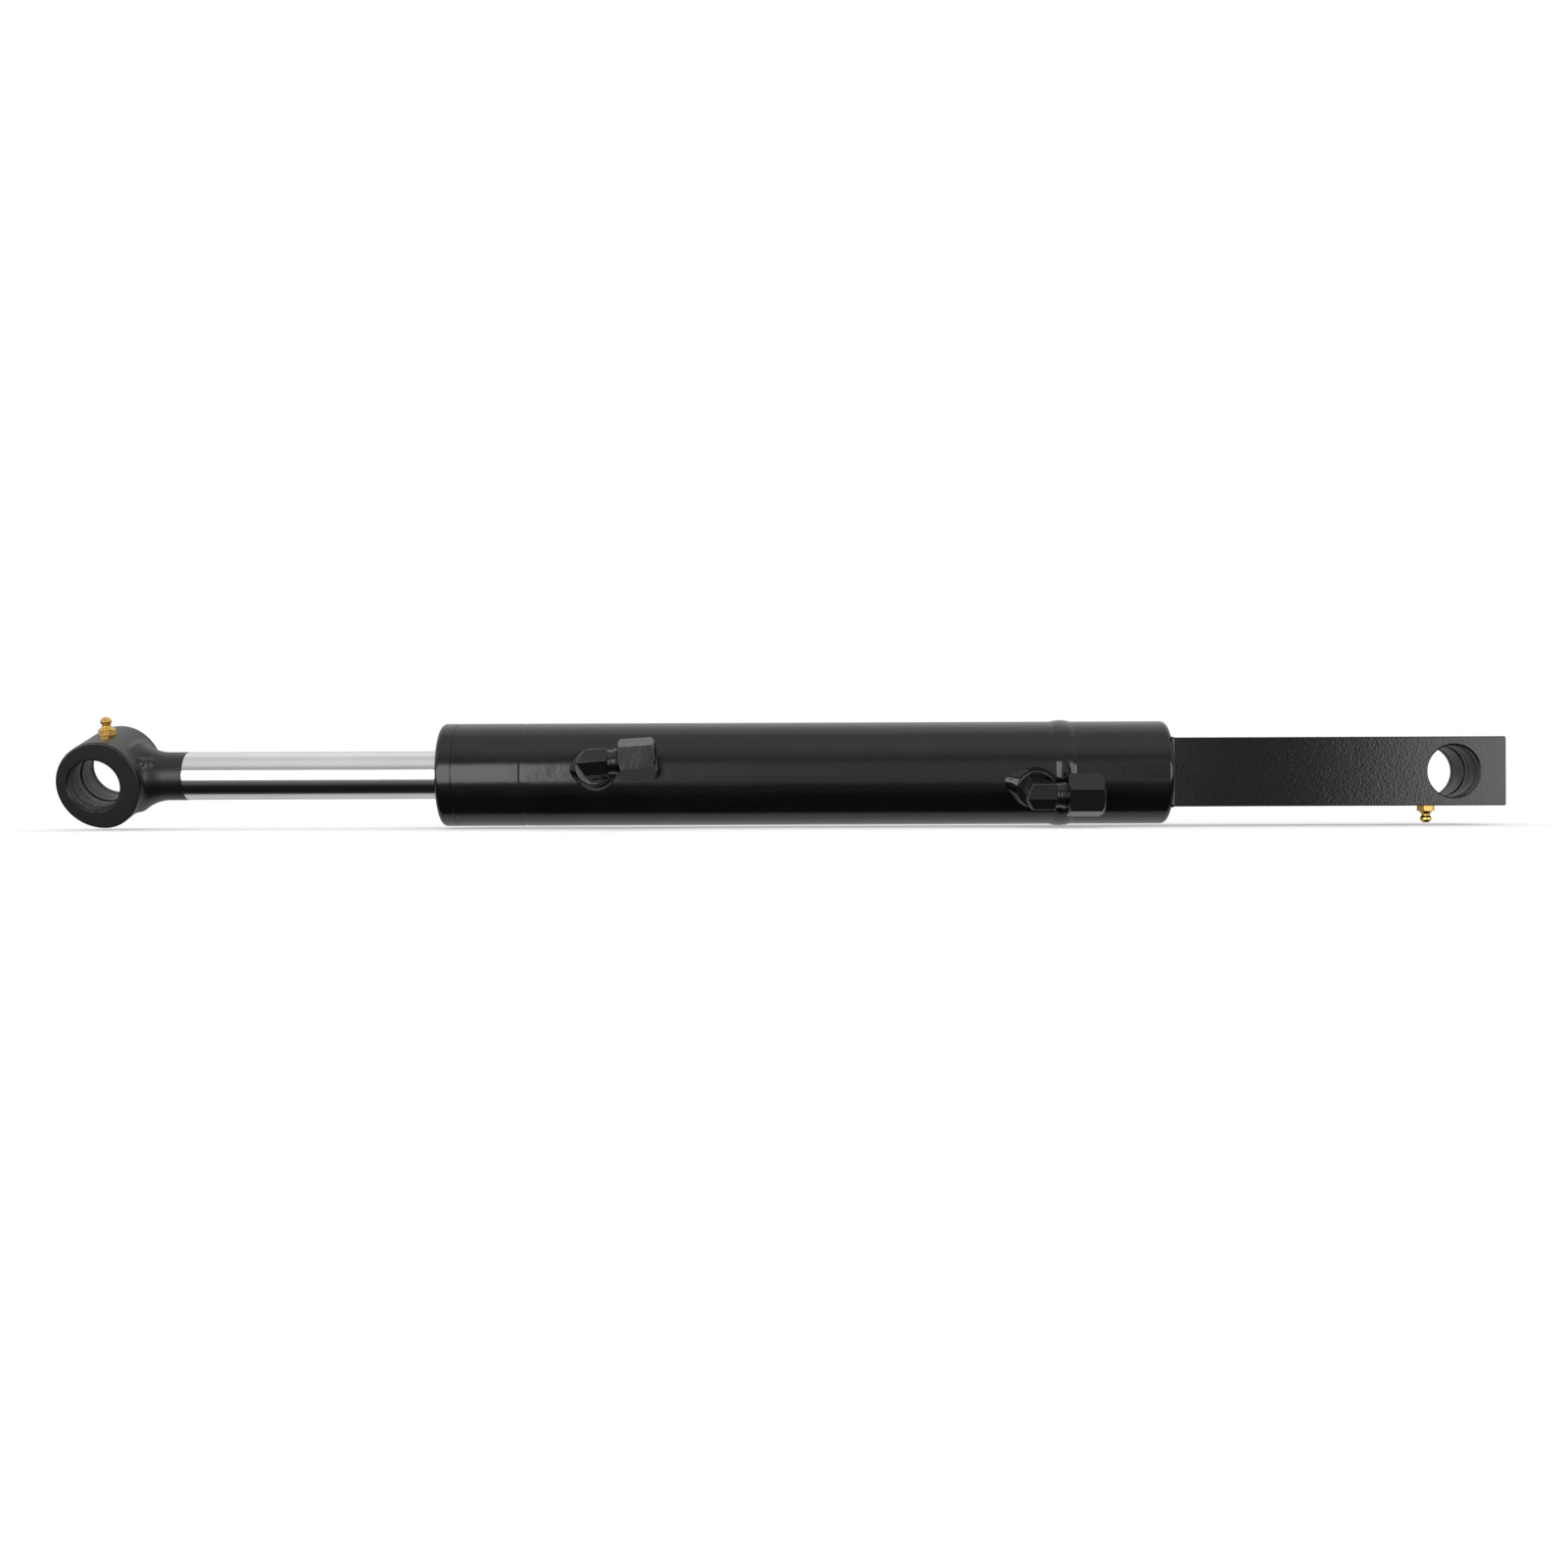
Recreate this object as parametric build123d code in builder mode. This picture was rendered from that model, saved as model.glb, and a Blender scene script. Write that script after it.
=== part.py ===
from build123d import *
from math import cos, radians, sin, sqrt
import os

# Double-acting hydraulic cylinder, 60 mm tube, 50 mm bore, 28 mm rod, 200 mm stroke.
# Frame: +X runs along the cylinder towards the base, +Z up, -Y is the side the ports face.
# The origin is the centre of the base lug's pin bore. All sizes are millimetres.

# ---- driving dimensions ---------------------------------------------------------------
TUBE_R = 30.0            # outside of the tube
BORE_R = 25.0            # cylinder bore
ROD_R = 14.0             # chromed rod
PIN_R = 15.0             # both pin bores
STROKE = 200.0
EXTENSION = 135.0        # how far the rod stands out of its closed position as drawn

# stations along X
FLANGE_FRONT = -585.0    # gland's front face
TUBE_FRONT = -575.5      # gland flange meets the tube
GLAND_END = -517.5       # gland's inner end
GROOVE_X = -536.8        # shallow turned witness groove round the tube
ROD_PORT_X = -492.7
BASE_PORT_X = -241.5
CAP_INNER = -234.0       # inner face of the base cap's spigot
SEAM_X = -223.5          # root of the weld between tube and cap
CAP_END = -161.5         # outer face of the base cap
EYE_X = -783.1           # rod eye's pin axis
NECK_X = -734.6          # rod eye's neck ends and the bare rod starts

# weld between tube and cap
BEVEL = 3.6
BEAD_HALF = 6.4
BEAD_CROWN = 1.1

# base lug: a rectangular bar
LUG_END = 30.2
LUG_W = 45.0             # along Y
LUG_H = 39.8             # along Z
LUG_EDGE_R = 1.6

# rod eye: a cross tube on a round neck, clocked about the rod
EYE_W = 41.0
EYE_R = 25.7
EYE_BODY_X = EYE_X + 4.0  # the bore is eccentric: the wall is thicker towards the rod
EYE_TILT = 15.8          # the -Y end of the eye's bore points down by this angle
NECK_R = 14.15
FLARE_X = -745.0         # the neck starts to flare into the cross tube
FLARE_R = 25.0
FLARE_END_R = 22.0
FLARE_MID = 30.0          # the flare's arc is drawn through the point this far round it
STUD_R = 10.0            # rod end stud inside the neck
STUD_LEN = 18.0

# bushings, grooved inside for a pin seal
BUSH_R = 17.0
BUSH_GAP = 4.0           # grease space between the two bushings of a pin bore
SEAL_IN = 3.4            # face to seal groove
SEAL_W = 3.8
SEAL_GROOVE_R = 16.3
PIN_SEAL_R = 15.12

# ports: boss, weld, right-angle elbow and swivel nut
PORT_HOLE_R = 5.0
BOSS_R = 11.0
BOSS_TOP = 34.5          # from the cylinder's axis
BOSS_SPIGOT_R = 8.5
WELD_TOE_R = 15.0
ELBOW_AF = 15.2          # hexagon across flats
ELBOW_AXIS = 45.0        # outlet's centre line from the cylinder's axis
ELBOW_ARM = 9.1          # port axis to the end of the elbow's hexagon
THREAD_R = 6.15          # elbow stud
OIL_R = 4.0              # drilling through the elbow
NOSE_R = 7.1             # round neck that carries the swivel nut
NUT_AF = 22.0
NUT_START = 15.5         # port axis to the nut's back face
NUT_LEN = 20.4
NUT_BACK = 4.5           # thickness of the nut's back wall
NUT_THREAD_R = 8.2       # minor radius of M18 x 1.5
NUT_RELIEF_R = 9.2
NUT_RELIEF = 4.0
NOSE_LEN = 3.9           # cone past the nut's back wall
WIRE_R = 0.6
WIRE_AT = NUT_START + NUT_BACK / 2

# piston group
PISTON_W = 35.0
STEM_R = 11.0            # rod's reduced end that holds the piston
TAIL_R = 10.0            # rod's thread beyond the piston
LOCK_NUT_W = 12.0
TAIL_OUT = 2.0           # rod's thread past the lock nut
STOP_R = 19.0
END_GAP = 2.0            # closed rod's end to the base cap
STOP_GAP = 0.5           # open stop tube to the gland

# grease nipples
NIPPLE_THREAD_R = 3.45
NIPPLE_THREAD = 3.8
LUG_NIPPLE_X = -8.0
EYE_NIPPLE_X = EYE_BODY_X - 0.7
EYE_SEAT_R = 5.4          # flat seat cut into the cross tube under its nipple
EYE_SEAT_DEPTH = 0.35
EYE_SEAT_RUN = 3.0
DRILL_START = 5.0         # the nipple's hole is cut from this far outside the cross tube
DRILL_END = 13.6          # and stops inside the bore, short of the pin's axis
EYE_CHAMFER = 0.5
BALL_R = 1.15
BALL_AT = 6.7            # ball's centre above the nipple's seat

SLIP = 0.05              # radial clearance of turned parts that push together

# ---- worked-out stations ---------------------------------------------------------------
TAIL_END = CAP_INNER - END_GAP - EXTENSION
NUT_FACE = TAIL_END - TAIL_OUT
PISTON_BACK = NUT_FACE - LOCK_NUT_W
PISTON_FRONT = PISTON_BACK - PISTON_W
STOP_LEN = PISTON_FRONT - (STROKE - EXTENSION) - STOP_GAP - GLAND_END

os.makedirs("parts", exist_ok=True)


def save(builder, label):
    """Label a finished piece and write its STEP file."""
    builder.part.label = label
    export_step(builder.part, f"parts/{label}.step")


def ring(inner_r, outer_r, x0, x1, edge=0.0):
    """A plain ring about the cylinder's axis, with its outer corners eased."""
    with BuildPart() as part:
        with BuildSketch(Plane.YZ.offset(x0)):
            Circle(outer_r)
            Circle(inner_r, mode=Mode.SUBTRACT)
        extrude(amount=x1 - x0)
        if edge:
            rims = part.edges().filter_by(GeomType.CIRCLE)
            chamfer(rims.filter_by(lambda e: e.radius > inner_r + edge), edge)
    return part


def turned(points):
    """A body of revolution about the cylinder's axis from (x, radius) corners."""
    with BuildPart() as part:
        with BuildSketch(Plane.XY):
            with BuildLine():
                Polyline(*points, close=True)
            make_face()
        revolve(axis=Axis.X)
    return part


def o_ring(x, mid_r, cord_r):
    """A torus about the cylinder's axis."""
    with BuildPart() as part:
        with BuildSketch(Plane.XY):
            with Locations((x, mid_r)):
                Circle(cord_r)
        revolve(axis=Axis.X)
    return part


# ---- planes ------------------------------------------------------------------------------
def port_plane(x, lift, clock):
    """Plane on the cylinder's axis whose normal points out through a port.

    lift raises the port above -Y, clock turns the elbow's outlet up about the port's axis.
    """
    out = Vector(0, -cos(radians(lift)), sin(radians(lift)))
    up = Vector(0, sin(radians(lift)), cos(radians(lift)))
    outlet = Vector(1, 0, 0) * cos(radians(clock)) + up * sin(radians(clock))
    return Plane(origin=(x, 0, 0), x_dir=outlet, z_dir=out)


LUG_PLANE = Plane(origin=(0, 0, 0), x_dir=(1, 0, 0), z_dir=(0, 1, 0))
EYE_AXIS = (0, cos(radians(EYE_TILT)), sin(radians(EYE_TILT)))
EYE_TOP = (0, -sin(radians(EYE_TILT)), cos(radians(EYE_TILT)))
EYE_PLANE = Plane(origin=(EYE_X, 0, 0), x_dir=(1, 0, 0), z_dir=EYE_AXIS)
EYE_BODY = Plane(origin=(EYE_BODY_X, 0, 0), x_dir=(1, 0, 0), z_dir=EYE_AXIS)
PORTS = {
    "rod_port": port_plane(ROD_PORT_X, lift=7.5, clock=4.0),
    "base_port": port_plane(BASE_PORT_X, lift=-16.5, clock=0.0),
}


# ---- barrel --------------------------------------------------------------------------------
def barrel_tube():
    """Cold-drawn tube: mouth opened for the gland's thread, weld bevel at the base end."""
    mouth_r = 26.05
    mouth_end = TUBE_FRONT + 25.0
    groove_w = 2.0
    groove_d = 0.3
    with BuildPart() as tube:
        with BuildSketch(Plane.XY):
            with BuildLine():
                Polyline(
                    (TUBE_FRONT, mouth_r),
                    (mouth_end, mouth_r),
                    (mouth_end + 1.0, BORE_R),
                    (SEAM_X, BORE_R),
                    (SEAM_X, TUBE_R - BEVEL),
                    (SEAM_X - BEVEL, TUBE_R),
                    (GROOVE_X + groove_w / 2, TUBE_R),
                    (GROOVE_X + groove_w / 2 - groove_d, TUBE_R - groove_d),
                    (GROOVE_X - groove_w / 2 + groove_d, TUBE_R - groove_d),
                    (GROOVE_X - groove_w / 2, TUBE_R),
                    (TUBE_FRONT + 0.6, TUBE_R),
                    (TUBE_FRONT, TUBE_R - 0.6),
                    close=True,
                )
            make_face()
        revolve(axis=Axis.X)
        for plane in PORTS.values():
            with BuildSketch(plane):
                Circle(BOSS_SPIGOT_R + SLIP)
            extrude(amount=TUBE_R + 5, mode=Mode.SUBTRACT)
    save(tube, "barrel_tube")


def base_cap():
    """Solid end cap with a spigot into the bore and a rounded outer edge."""
    with BuildPart() as cap:
        with BuildSketch(Plane.XY):
            with BuildLine():
                Polyline(
                    (CAP_INNER, 0),
                    (CAP_INNER, BORE_R - 1.5),
                    (CAP_INNER + 1.5, BORE_R - SLIP),
                    (SEAM_X + SLIP, BORE_R - SLIP),
                    (SEAM_X + SLIP, TUBE_R - BEVEL),
                    (SEAM_X + BEVEL, TUBE_R),
                    (CAP_END, TUBE_R),
                    (CAP_END, 0),
                    close=True,
                )
            make_face()
        revolve(axis=Axis.X)
        rim = cap.edges().filter_by(GeomType.CIRCLE).group_by(Axis.X)[-1]
        fillet(rim, 3.2)
    save(cap, "base_cap")


def base_weld_bead():
    """Weld that fills the bevels between tube and cap and stands a little proud."""
    root = TUBE_R - BEVEL
    left = (SEAM_X - BEAD_HALF, TUBE_R)
    right = (SEAM_X + BEAD_HALF, TUBE_R)
    with BuildPart() as bead:
        with BuildSketch(Plane.XY):
            with BuildLine():
                Polyline(
                    left,
                    (SEAM_X - BEVEL, TUBE_R),
                    (SEAM_X, root),
                    (SEAM_X + BEVEL, TUBE_R),
                    right,
                )
                ThreePointArc(right, (SEAM_X, TUBE_R + BEAD_CROWN), left)
            make_face()
        revolve(axis=Axis.X)
    save(bead, "base_weld_bead")


def base_lug():
    """Rectangular bar welded to the cap, bored for two bushings and drilled for grease."""
    with BuildPart() as lug:
        with BuildSketch(Plane.YZ.offset(CAP_END)):
            RectangleRounded(LUG_W, LUG_H, LUG_EDGE_R)
        extrude(amount=LUG_END - CAP_END)
        fillet(lug.faces().sort_by(Axis.X)[-1].edges(), LUG_EDGE_R * 0.8)
        with BuildSketch(LUG_PLANE):
            Circle(BUSH_R)
        extrude(amount=LUG_W, both=True, mode=Mode.SUBTRACT)
        with BuildSketch(Plane.XY.offset(-LUG_H)):
            with Locations((LUG_NIPPLE_X, 0)):
                Circle(NIPPLE_THREAD_R)
        extrude(amount=LUG_H - BUSH_R * 0.6, mode=Mode.SUBTRACT)
    save(lug, "base_lug")


# ---- bushings and pin seals of both pin bores ---------------------------------------------
def pin_bushing(plane, width, side):
    """One of the two bushings of a pin bore; side is -1 for the -Y end and +1 for the other."""
    length = (width - BUSH_GAP) / 2
    face = width / 2
    start = face - length
    with BuildPart() as bush:
        with BuildSketch(plane.offset(side * start)):
            Circle(BUSH_R)
            Circle(PIN_R, mode=Mode.SUBTRACT)
        extrude(amount=side * length)
        with BuildSketch(plane.offset(side * (face - SEAL_IN - SEAL_W))):
            Circle(SEAL_GROOVE_R)
            Circle(PIN_R - 1, mode=Mode.SUBTRACT)
        extrude(amount=side * SEAL_W, mode=Mode.SUBTRACT)
        outer_rim = [
            e for e in bush.edges().filter_by(GeomType.CIRCLE)
            if e.radius < PIN_R + 0.1 and abs(plane.to_local_coords(e.center()).Z) > face - 0.1
        ]
        chamfer(outer_rim, 0.7)
    return bush


def pin_seal(plane, width, side):
    """Lip seal in a bushing's groove: a flat ring with a notch behind its lip."""
    outer = SEAL_GROOVE_R - SLIP
    near = width / 2 - SEAL_IN - SLIP
    far = near - SEAL_W + 2 * SLIP
    with BuildPart() as seal:
        with BuildSketch(plane.offset(side * far)):
            Circle(outer)
            Circle(PIN_SEAL_R, mode=Mode.SUBTRACT)
        extrude(amount=side * (near - far))
        with BuildSketch(plane.offset(side * near)):
            Circle(outer - 0.35)
            Circle(PIN_SEAL_R + 0.35, mode=Mode.SUBTRACT)
        extrude(amount=-side * 1.2, mode=Mode.SUBTRACT)
    return seal


def pin_bores():
    bores = {"lug": (LUG_PLANE, LUG_W), "eye": (EYE_PLANE, EYE_W)}
    ends = {"front": -1, "rear": 1}
    for bore, (plane, width) in bores.items():
        for end, side in ends.items():
            save(pin_bushing(plane, width, side), f"{bore}_bushing_{end}")
            save(pin_seal(plane, width, side), f"{bore}_pin_seal_{end}")


# ---- grease nipples --------------------------------------------------------------------------
def grease_nipple(plane):
    """Hexagon-based nipple; the plane lies on the surface with its normal pointing out."""
    hex_af = 9.0
    hex_h = 3.4
    hole_r = 1.25
    with BuildPart() as nipple:
        with BuildSketch(plane):
            RegularPolygon(hex_af / 2, 6, major_radius=False)
        extrude(amount=hex_h)
        with BuildSketch(plane):
            Circle(NIPPLE_THREAD_R - SLIP)
        extrude(amount=-NIPPLE_THREAD)
        axis_plane = Plane(origin=plane.origin, x_dir=plane.x_dir, z_dir=-plane.y_dir)
        with BuildSketch(axis_plane):
            with BuildLine():
                Polyline(
                    (0, hex_h - 0.5),
                    (4.3, hex_h - 0.5),
                    (4.3, hex_h),
                    (2.35, hex_h + 1.9),
                    (2.35, hex_h + 2.7),
                    (3.25, hex_h + 3.9),
                    (3.25, hex_h + 5.2),
                    (1.9, hex_h + 6.7),
                    (0, hex_h + 6.7),
                    close=True,
                )
            make_face()
        revolve(axis=Axis(plane.origin, plane.z_dir))
        with BuildSketch(plane.offset(-NIPPLE_THREAD)):
            Circle(hole_r)
        extrude(amount=NIPPLE_THREAD + hex_h + 4.6, mode=Mode.SUBTRACT)
        with BuildSketch(plane.offset(hex_h + 4.0)):
            Circle(0.9)
        extrude(amount=4, mode=Mode.SUBTRACT)
    return nipple


def nipple_ball(plane):
    """Check ball just inside the nipple's mouth."""
    with BuildPart(plane.offset(BALL_AT)) as ball:
        Sphere(BALL_R)
    return ball


def nipple_spring(plane):
    """Fine spring that holds the check ball up."""
    wire_r = 0.2
    low = -NIPPLE_THREAD + 0.4
    height = BALL_AT - BALL_R - wire_r - low
    foot = plane.origin + plane.z_dir * low
    with BuildPart() as spring:
        with BuildLine() as wire:
            Helix(pitch=1.0, height=height, radius=0.9, center=foot, direction=plane.z_dir)
        with BuildSketch(Plane(origin=wire.line @ 0, z_dir=wire.line % 0)):
            Circle(wire_r)
        sweep()
    return spring


def grease_points():
    lug_face = Plane(origin=(LUG_NIPPLE_X, 0, -LUG_H / 2), x_dir=(1, 0, 0), z_dir=(0, 0, -1))
    top = Vector(*EYE_TOP) * EYE_R
    eye_face = Plane(origin=(EYE_NIPPLE_X, top.Y, top.Z), x_dir=(1, 0, 0), z_dir=EYE_TOP)
    seat = 0.35
    places = {"lug": lug_face, "eye": eye_face.offset(-seat)}
    for name, plane in places.items():
        save(grease_nipple(plane), f"{name}_grease_nipple")
        save(nipple_ball(plane), f"{name}_nipple_ball")
        save(nipple_spring(plane), f"{name}_nipple_spring")


# ---- ports -----------------------------------------------------------------------------------
def port_boss(plane):
    """Round boss saddled on the tube, with a spigot through the wall and a threaded hole."""
    with BuildPart() as boss:
        with BuildSketch(plane):
            Circle(BOSS_R)
        extrude(amount=BOSS_TOP)
        chamfer(boss.faces().sort_by(Axis(plane.origin, plane.z_dir))[-1].edges(), 0.8)
        with BuildSketch(Plane.YZ.offset(plane.origin.X)):
            Circle(TUBE_R)
        extrude(amount=2 * BOSS_R, both=True, mode=Mode.SUBTRACT)
        with BuildSketch(plane.offset(BORE_R - 4)):
            Circle(BOSS_SPIGOT_R)
        extrude(amount=TUBE_R - BORE_R + 5)
        with BuildSketch(Plane.YZ.offset(plane.origin.X)):
            Circle(BORE_R + 0.2)
        extrude(amount=2 * BOSS_R, both=True, mode=Mode.SUBTRACT)
        with BuildSketch(plane):
            Circle(PORT_HOLE_R)
        extrude(amount=BOSS_TOP + 1, mode=Mode.SUBTRACT)
        with BuildSketch(plane.offset(BOSS_TOP - 8)):
            Circle(THREAD_R + SLIP)
        extrude(amount=9, mode=Mode.SUBTRACT)
        with BuildSketch(plane.offset(BOSS_TOP - 1.5)):
            Circle(THREAD_R + 1.6)
        extrude(amount=2, mode=Mode.SUBTRACT)
    return boss


def port_weld(plane):
    """Fillet weld round the boss, hollowed to sit on the tube."""
    toe = sqrt(TUBE_R**2 - WELD_TOE_R**2)
    with BuildPart() as weld:
        axis_plane = Plane(origin=plane.origin, x_dir=plane.x_dir, z_dir=-plane.y_dir)
        with BuildSketch(axis_plane):
            with BuildLine():
                Polyline(
                    (BOSS_R, toe - 2),
                    (WELD_TOE_R, toe - 2),
                    (WELD_TOE_R, TUBE_R - 1.6),
                    (WELD_TOE_R - 1.0, TUBE_R + 0.9),
                    (BOSS_R + 1.2, TUBE_R + 2.7),
                    (BOSS_R, TUBE_R + 3.1),
                    close=True,
                )
            make_face()
        revolve(axis=Axis(plane.origin, plane.z_dir))
        with BuildSketch(Plane.YZ.offset(plane.origin.X)):
            Circle(TUBE_R)
        extrude(amount=2 * BOSS_R, both=True, mode=Mode.SUBTRACT)
        with BuildSketch(Plane.YZ.offset(SEAM_X - BEAD_HALF - SLIP)):
            Circle(TUBE_R + BEAD_CROWN)
        extrude(amount=2 * BEAD_HALF, mode=Mode.SUBTRACT)
    return weld


def hex_prism(plane, start, end):
    """A hexagonal bar standing on a plane, one of its corners towards the plane's x."""
    with BuildPart() as bar:
        with BuildSketch(plane.offset(start)):
            RegularPolygon(ELBOW_AF / 2, 6, major_radius=False, rotation=0)
        extrude(amount=end - start)
    return bar


def port_elbow(plane):
    """Forged right-angle elbow: two mitred hexagonal legs, a stud and a nose with a cone."""
    corner = plane.origin + plane.z_dir * ELBOW_AXIS
    reach = ELBOW_AF
    arm_plane = Plane(origin=corner, x_dir=plane.z_dir, z_dir=plane.x_dir)
    leg_plane = Plane(origin=corner, x_dir=plane.x_dir, z_dir=-plane.z_dir)
    mitre = Plane(origin=corner, x_dir=plane.y_dir, z_dir=plane.x_dir + plane.z_dir)
    leg_len = ELBOW_AXIS - BOSS_TOP
    arm = hex_prism(arm_plane, -reach, ELBOW_ARM)
    leg = hex_prism(leg_plane, -reach, leg_len)
    with BuildPart() as arm_half:
        add(arm.part)
        split(bisect_by=mitre, keep=Keep.TOP)
    with BuildPart() as leg_half:
        add(leg.part)
        split(bisect_by=mitre, keep=Keep.BOTTOM)
    with BuildPart() as elbow:
        add(arm_half.part)
        add(leg_half.part)
        with BuildSketch(leg_plane):
            Circle(THREAD_R)
        extrude(amount=leg_len + 7.2)
        with BuildSketch(arm_plane):
            Circle(NOSE_R)
        extrude(amount=NUT_START + NUT_BACK + 0.1)
        with BuildSketch(arm_plane.offset(NUT_START + NUT_BACK)):
            Circle(NOSE_R)
        extrude(amount=NOSE_LEN, taper=12)
        with BuildSketch(arm_plane):
            Circle(OIL_R)
        extrude(amount=ELBOW_ARM + 30, mode=Mode.SUBTRACT)
        with BuildSketch(leg_plane):
            Circle(OIL_R)
        extrude(amount=leg_len + 10, mode=Mode.SUBTRACT)
        with BuildSketch(arm_plane.offset(WIRE_AT - WIRE_R)):
            Circle(NOSE_R + 1)
            Circle(NOSE_R - WIRE_R, mode=Mode.SUBTRACT)
        extrude(amount=2 * WIRE_R, mode=Mode.SUBTRACT)
        outer = elbow.edges().filter_by(lambda e: (e @ 0.5 - corner).dot(plane.z_dir) > 4.0)
        outer = outer.filter_by(lambda e: (e @ 0.5 - corner).dot(plane.x_dir) < 1.0)
        fillet(outer.filter_by(GeomType.LINE), 1.2)
    return elbow


def elbow_o_ring(plane):
    """O-ring in the boss's mouth, under the elbow's hexagon."""
    with BuildPart() as seal:
        section = Plane(origin=plane.origin, x_dir=plane.x_dir, z_dir=-plane.y_dir)
        with BuildSketch(section):
            with Locations((THREAD_R + 0.78, BOSS_TOP - 0.75)):
                Circle(0.72)
        revolve(axis=Axis(plane.origin, plane.z_dir))
    return seal


def nose_seal(plane):
    """O-ring on the elbow's cone."""
    corner = plane.origin + plane.z_dir * ELBOW_AXIS
    along = NUT_START + NUT_BACK + 1.7
    mid_r = NOSE_R - 1.7 * sin(radians(12)) + 0.72
    with BuildPart() as seal:
        with BuildSketch(Plane(origin=corner, x_dir=plane.x_dir, z_dir=-plane.y_dir)):
            with Locations((along, mid_r)):
                Circle(0.7)
        revolve(axis=Axis(corner, plane.x_dir))
    return seal


def swivel_wire(plane):
    """Wire ring that keeps the swivel nut on the elbow's neck."""
    corner = plane.origin + plane.z_dir * ELBOW_AXIS
    with BuildPart() as wire:
        with BuildSketch(Plane(origin=corner, x_dir=plane.x_dir, z_dir=-plane.y_dir)):
            with Locations((WIRE_AT, NOSE_R)):
                Circle(WIRE_R - SLIP)
        revolve(axis=Axis(corner, plane.x_dir))
    return wire


def swivel_nut(plane):
    """Hexagon nut, chamfered at both ends, threaded from its mouth to a relief."""
    corner = plane.origin + plane.z_dir * ELBOW_AXIS
    start = Plane(origin=corner, x_dir=plane.z_dir, z_dir=plane.x_dir).offset(NUT_START)
    corner_r = NUT_AF / sqrt(3)
    section = Plane(origin=start.origin, x_dir=plane.x_dir, z_dir=-plane.y_dir)
    turn = Axis(corner, plane.x_dir)
    with BuildPart() as outline:
        with BuildSketch(section):
            with BuildLine():
                Polyline(
                    (0, 0),
                    (0, corner_r - 1.6),
                    (0.9, corner_r),
                    (NUT_LEN - 1.7, corner_r),
                    (NUT_LEN - 0.6, corner_r - 1.4),
                    (NUT_LEN, corner_r - 2.6),
                    (NUT_LEN, 0),
                    close=True,
                )
            make_face()
        revolve(axis=turn)
    with BuildPart() as nut:
        with BuildSketch(start):
            RegularPolygon(NUT_AF / 2, 6, major_radius=False, rotation=30)
        extrude(amount=NUT_LEN)
        add(outline.part, mode=Mode.INTERSECT)
        with BuildSketch(start):
            Circle(NOSE_R + 0.09)
        extrude(amount=NUT_LEN, mode=Mode.SUBTRACT)
        with BuildSketch(start.offset(NUT_BACK)):
            Circle(NUT_THREAD_R)
        extrude(amount=NUT_LEN, mode=Mode.SUBTRACT)
        with BuildSketch(start.offset(NUT_BACK)):
            Circle(NUT_RELIEF_R)
        extrude(amount=NUT_RELIEF, mode=Mode.SUBTRACT)
        with BuildSketch(start.offset(NUT_LEN)):
            Circle(NUT_THREAD_R + 0.9)
        extrude(amount=-0.9, taper=45, mode=Mode.SUBTRACT)
        with BuildSketch(start.offset(NUT_BACK / 2 - WIRE_R)):
            Circle(NOSE_R + WIRE_R)
        extrude(amount=2 * WIRE_R, mode=Mode.SUBTRACT)
    return nut


def ports():
    for name, plane in PORTS.items():
        save(port_boss(plane), f"{name}_boss")
        save(port_weld(plane), f"{name}_weld")
        save(port_elbow(plane), f"{name}_elbow")
        save(elbow_o_ring(plane), f"{name}_elbow_o_ring")
        save(nose_seal(plane), f"{name}_nose_seal")
        save(swivel_wire(plane), f"{name}_swivel_wire")
        save(swivel_nut(plane), f"{name}_swivel_nut")


# ---- gland and its seals ---------------------------------------------------------------------
GLAND_BORE_R = ROD_R + 0.15
WIPER_SEAT = (-584.0, -577.5)
ROD_SEAL_SEAT = (-571.5, -562.5)
BUFFER_SEAT = (-557.0, -552.0)
ROD_RING_SEAT = (-546.0, -529.0)
GLAND_SEAL_SEAT = (-541.0, -534.5)
ROD_SEAT_R = 19.0
ROD_RING_R = 16.5
GLAND_SEAL_R = 22.2


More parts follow.
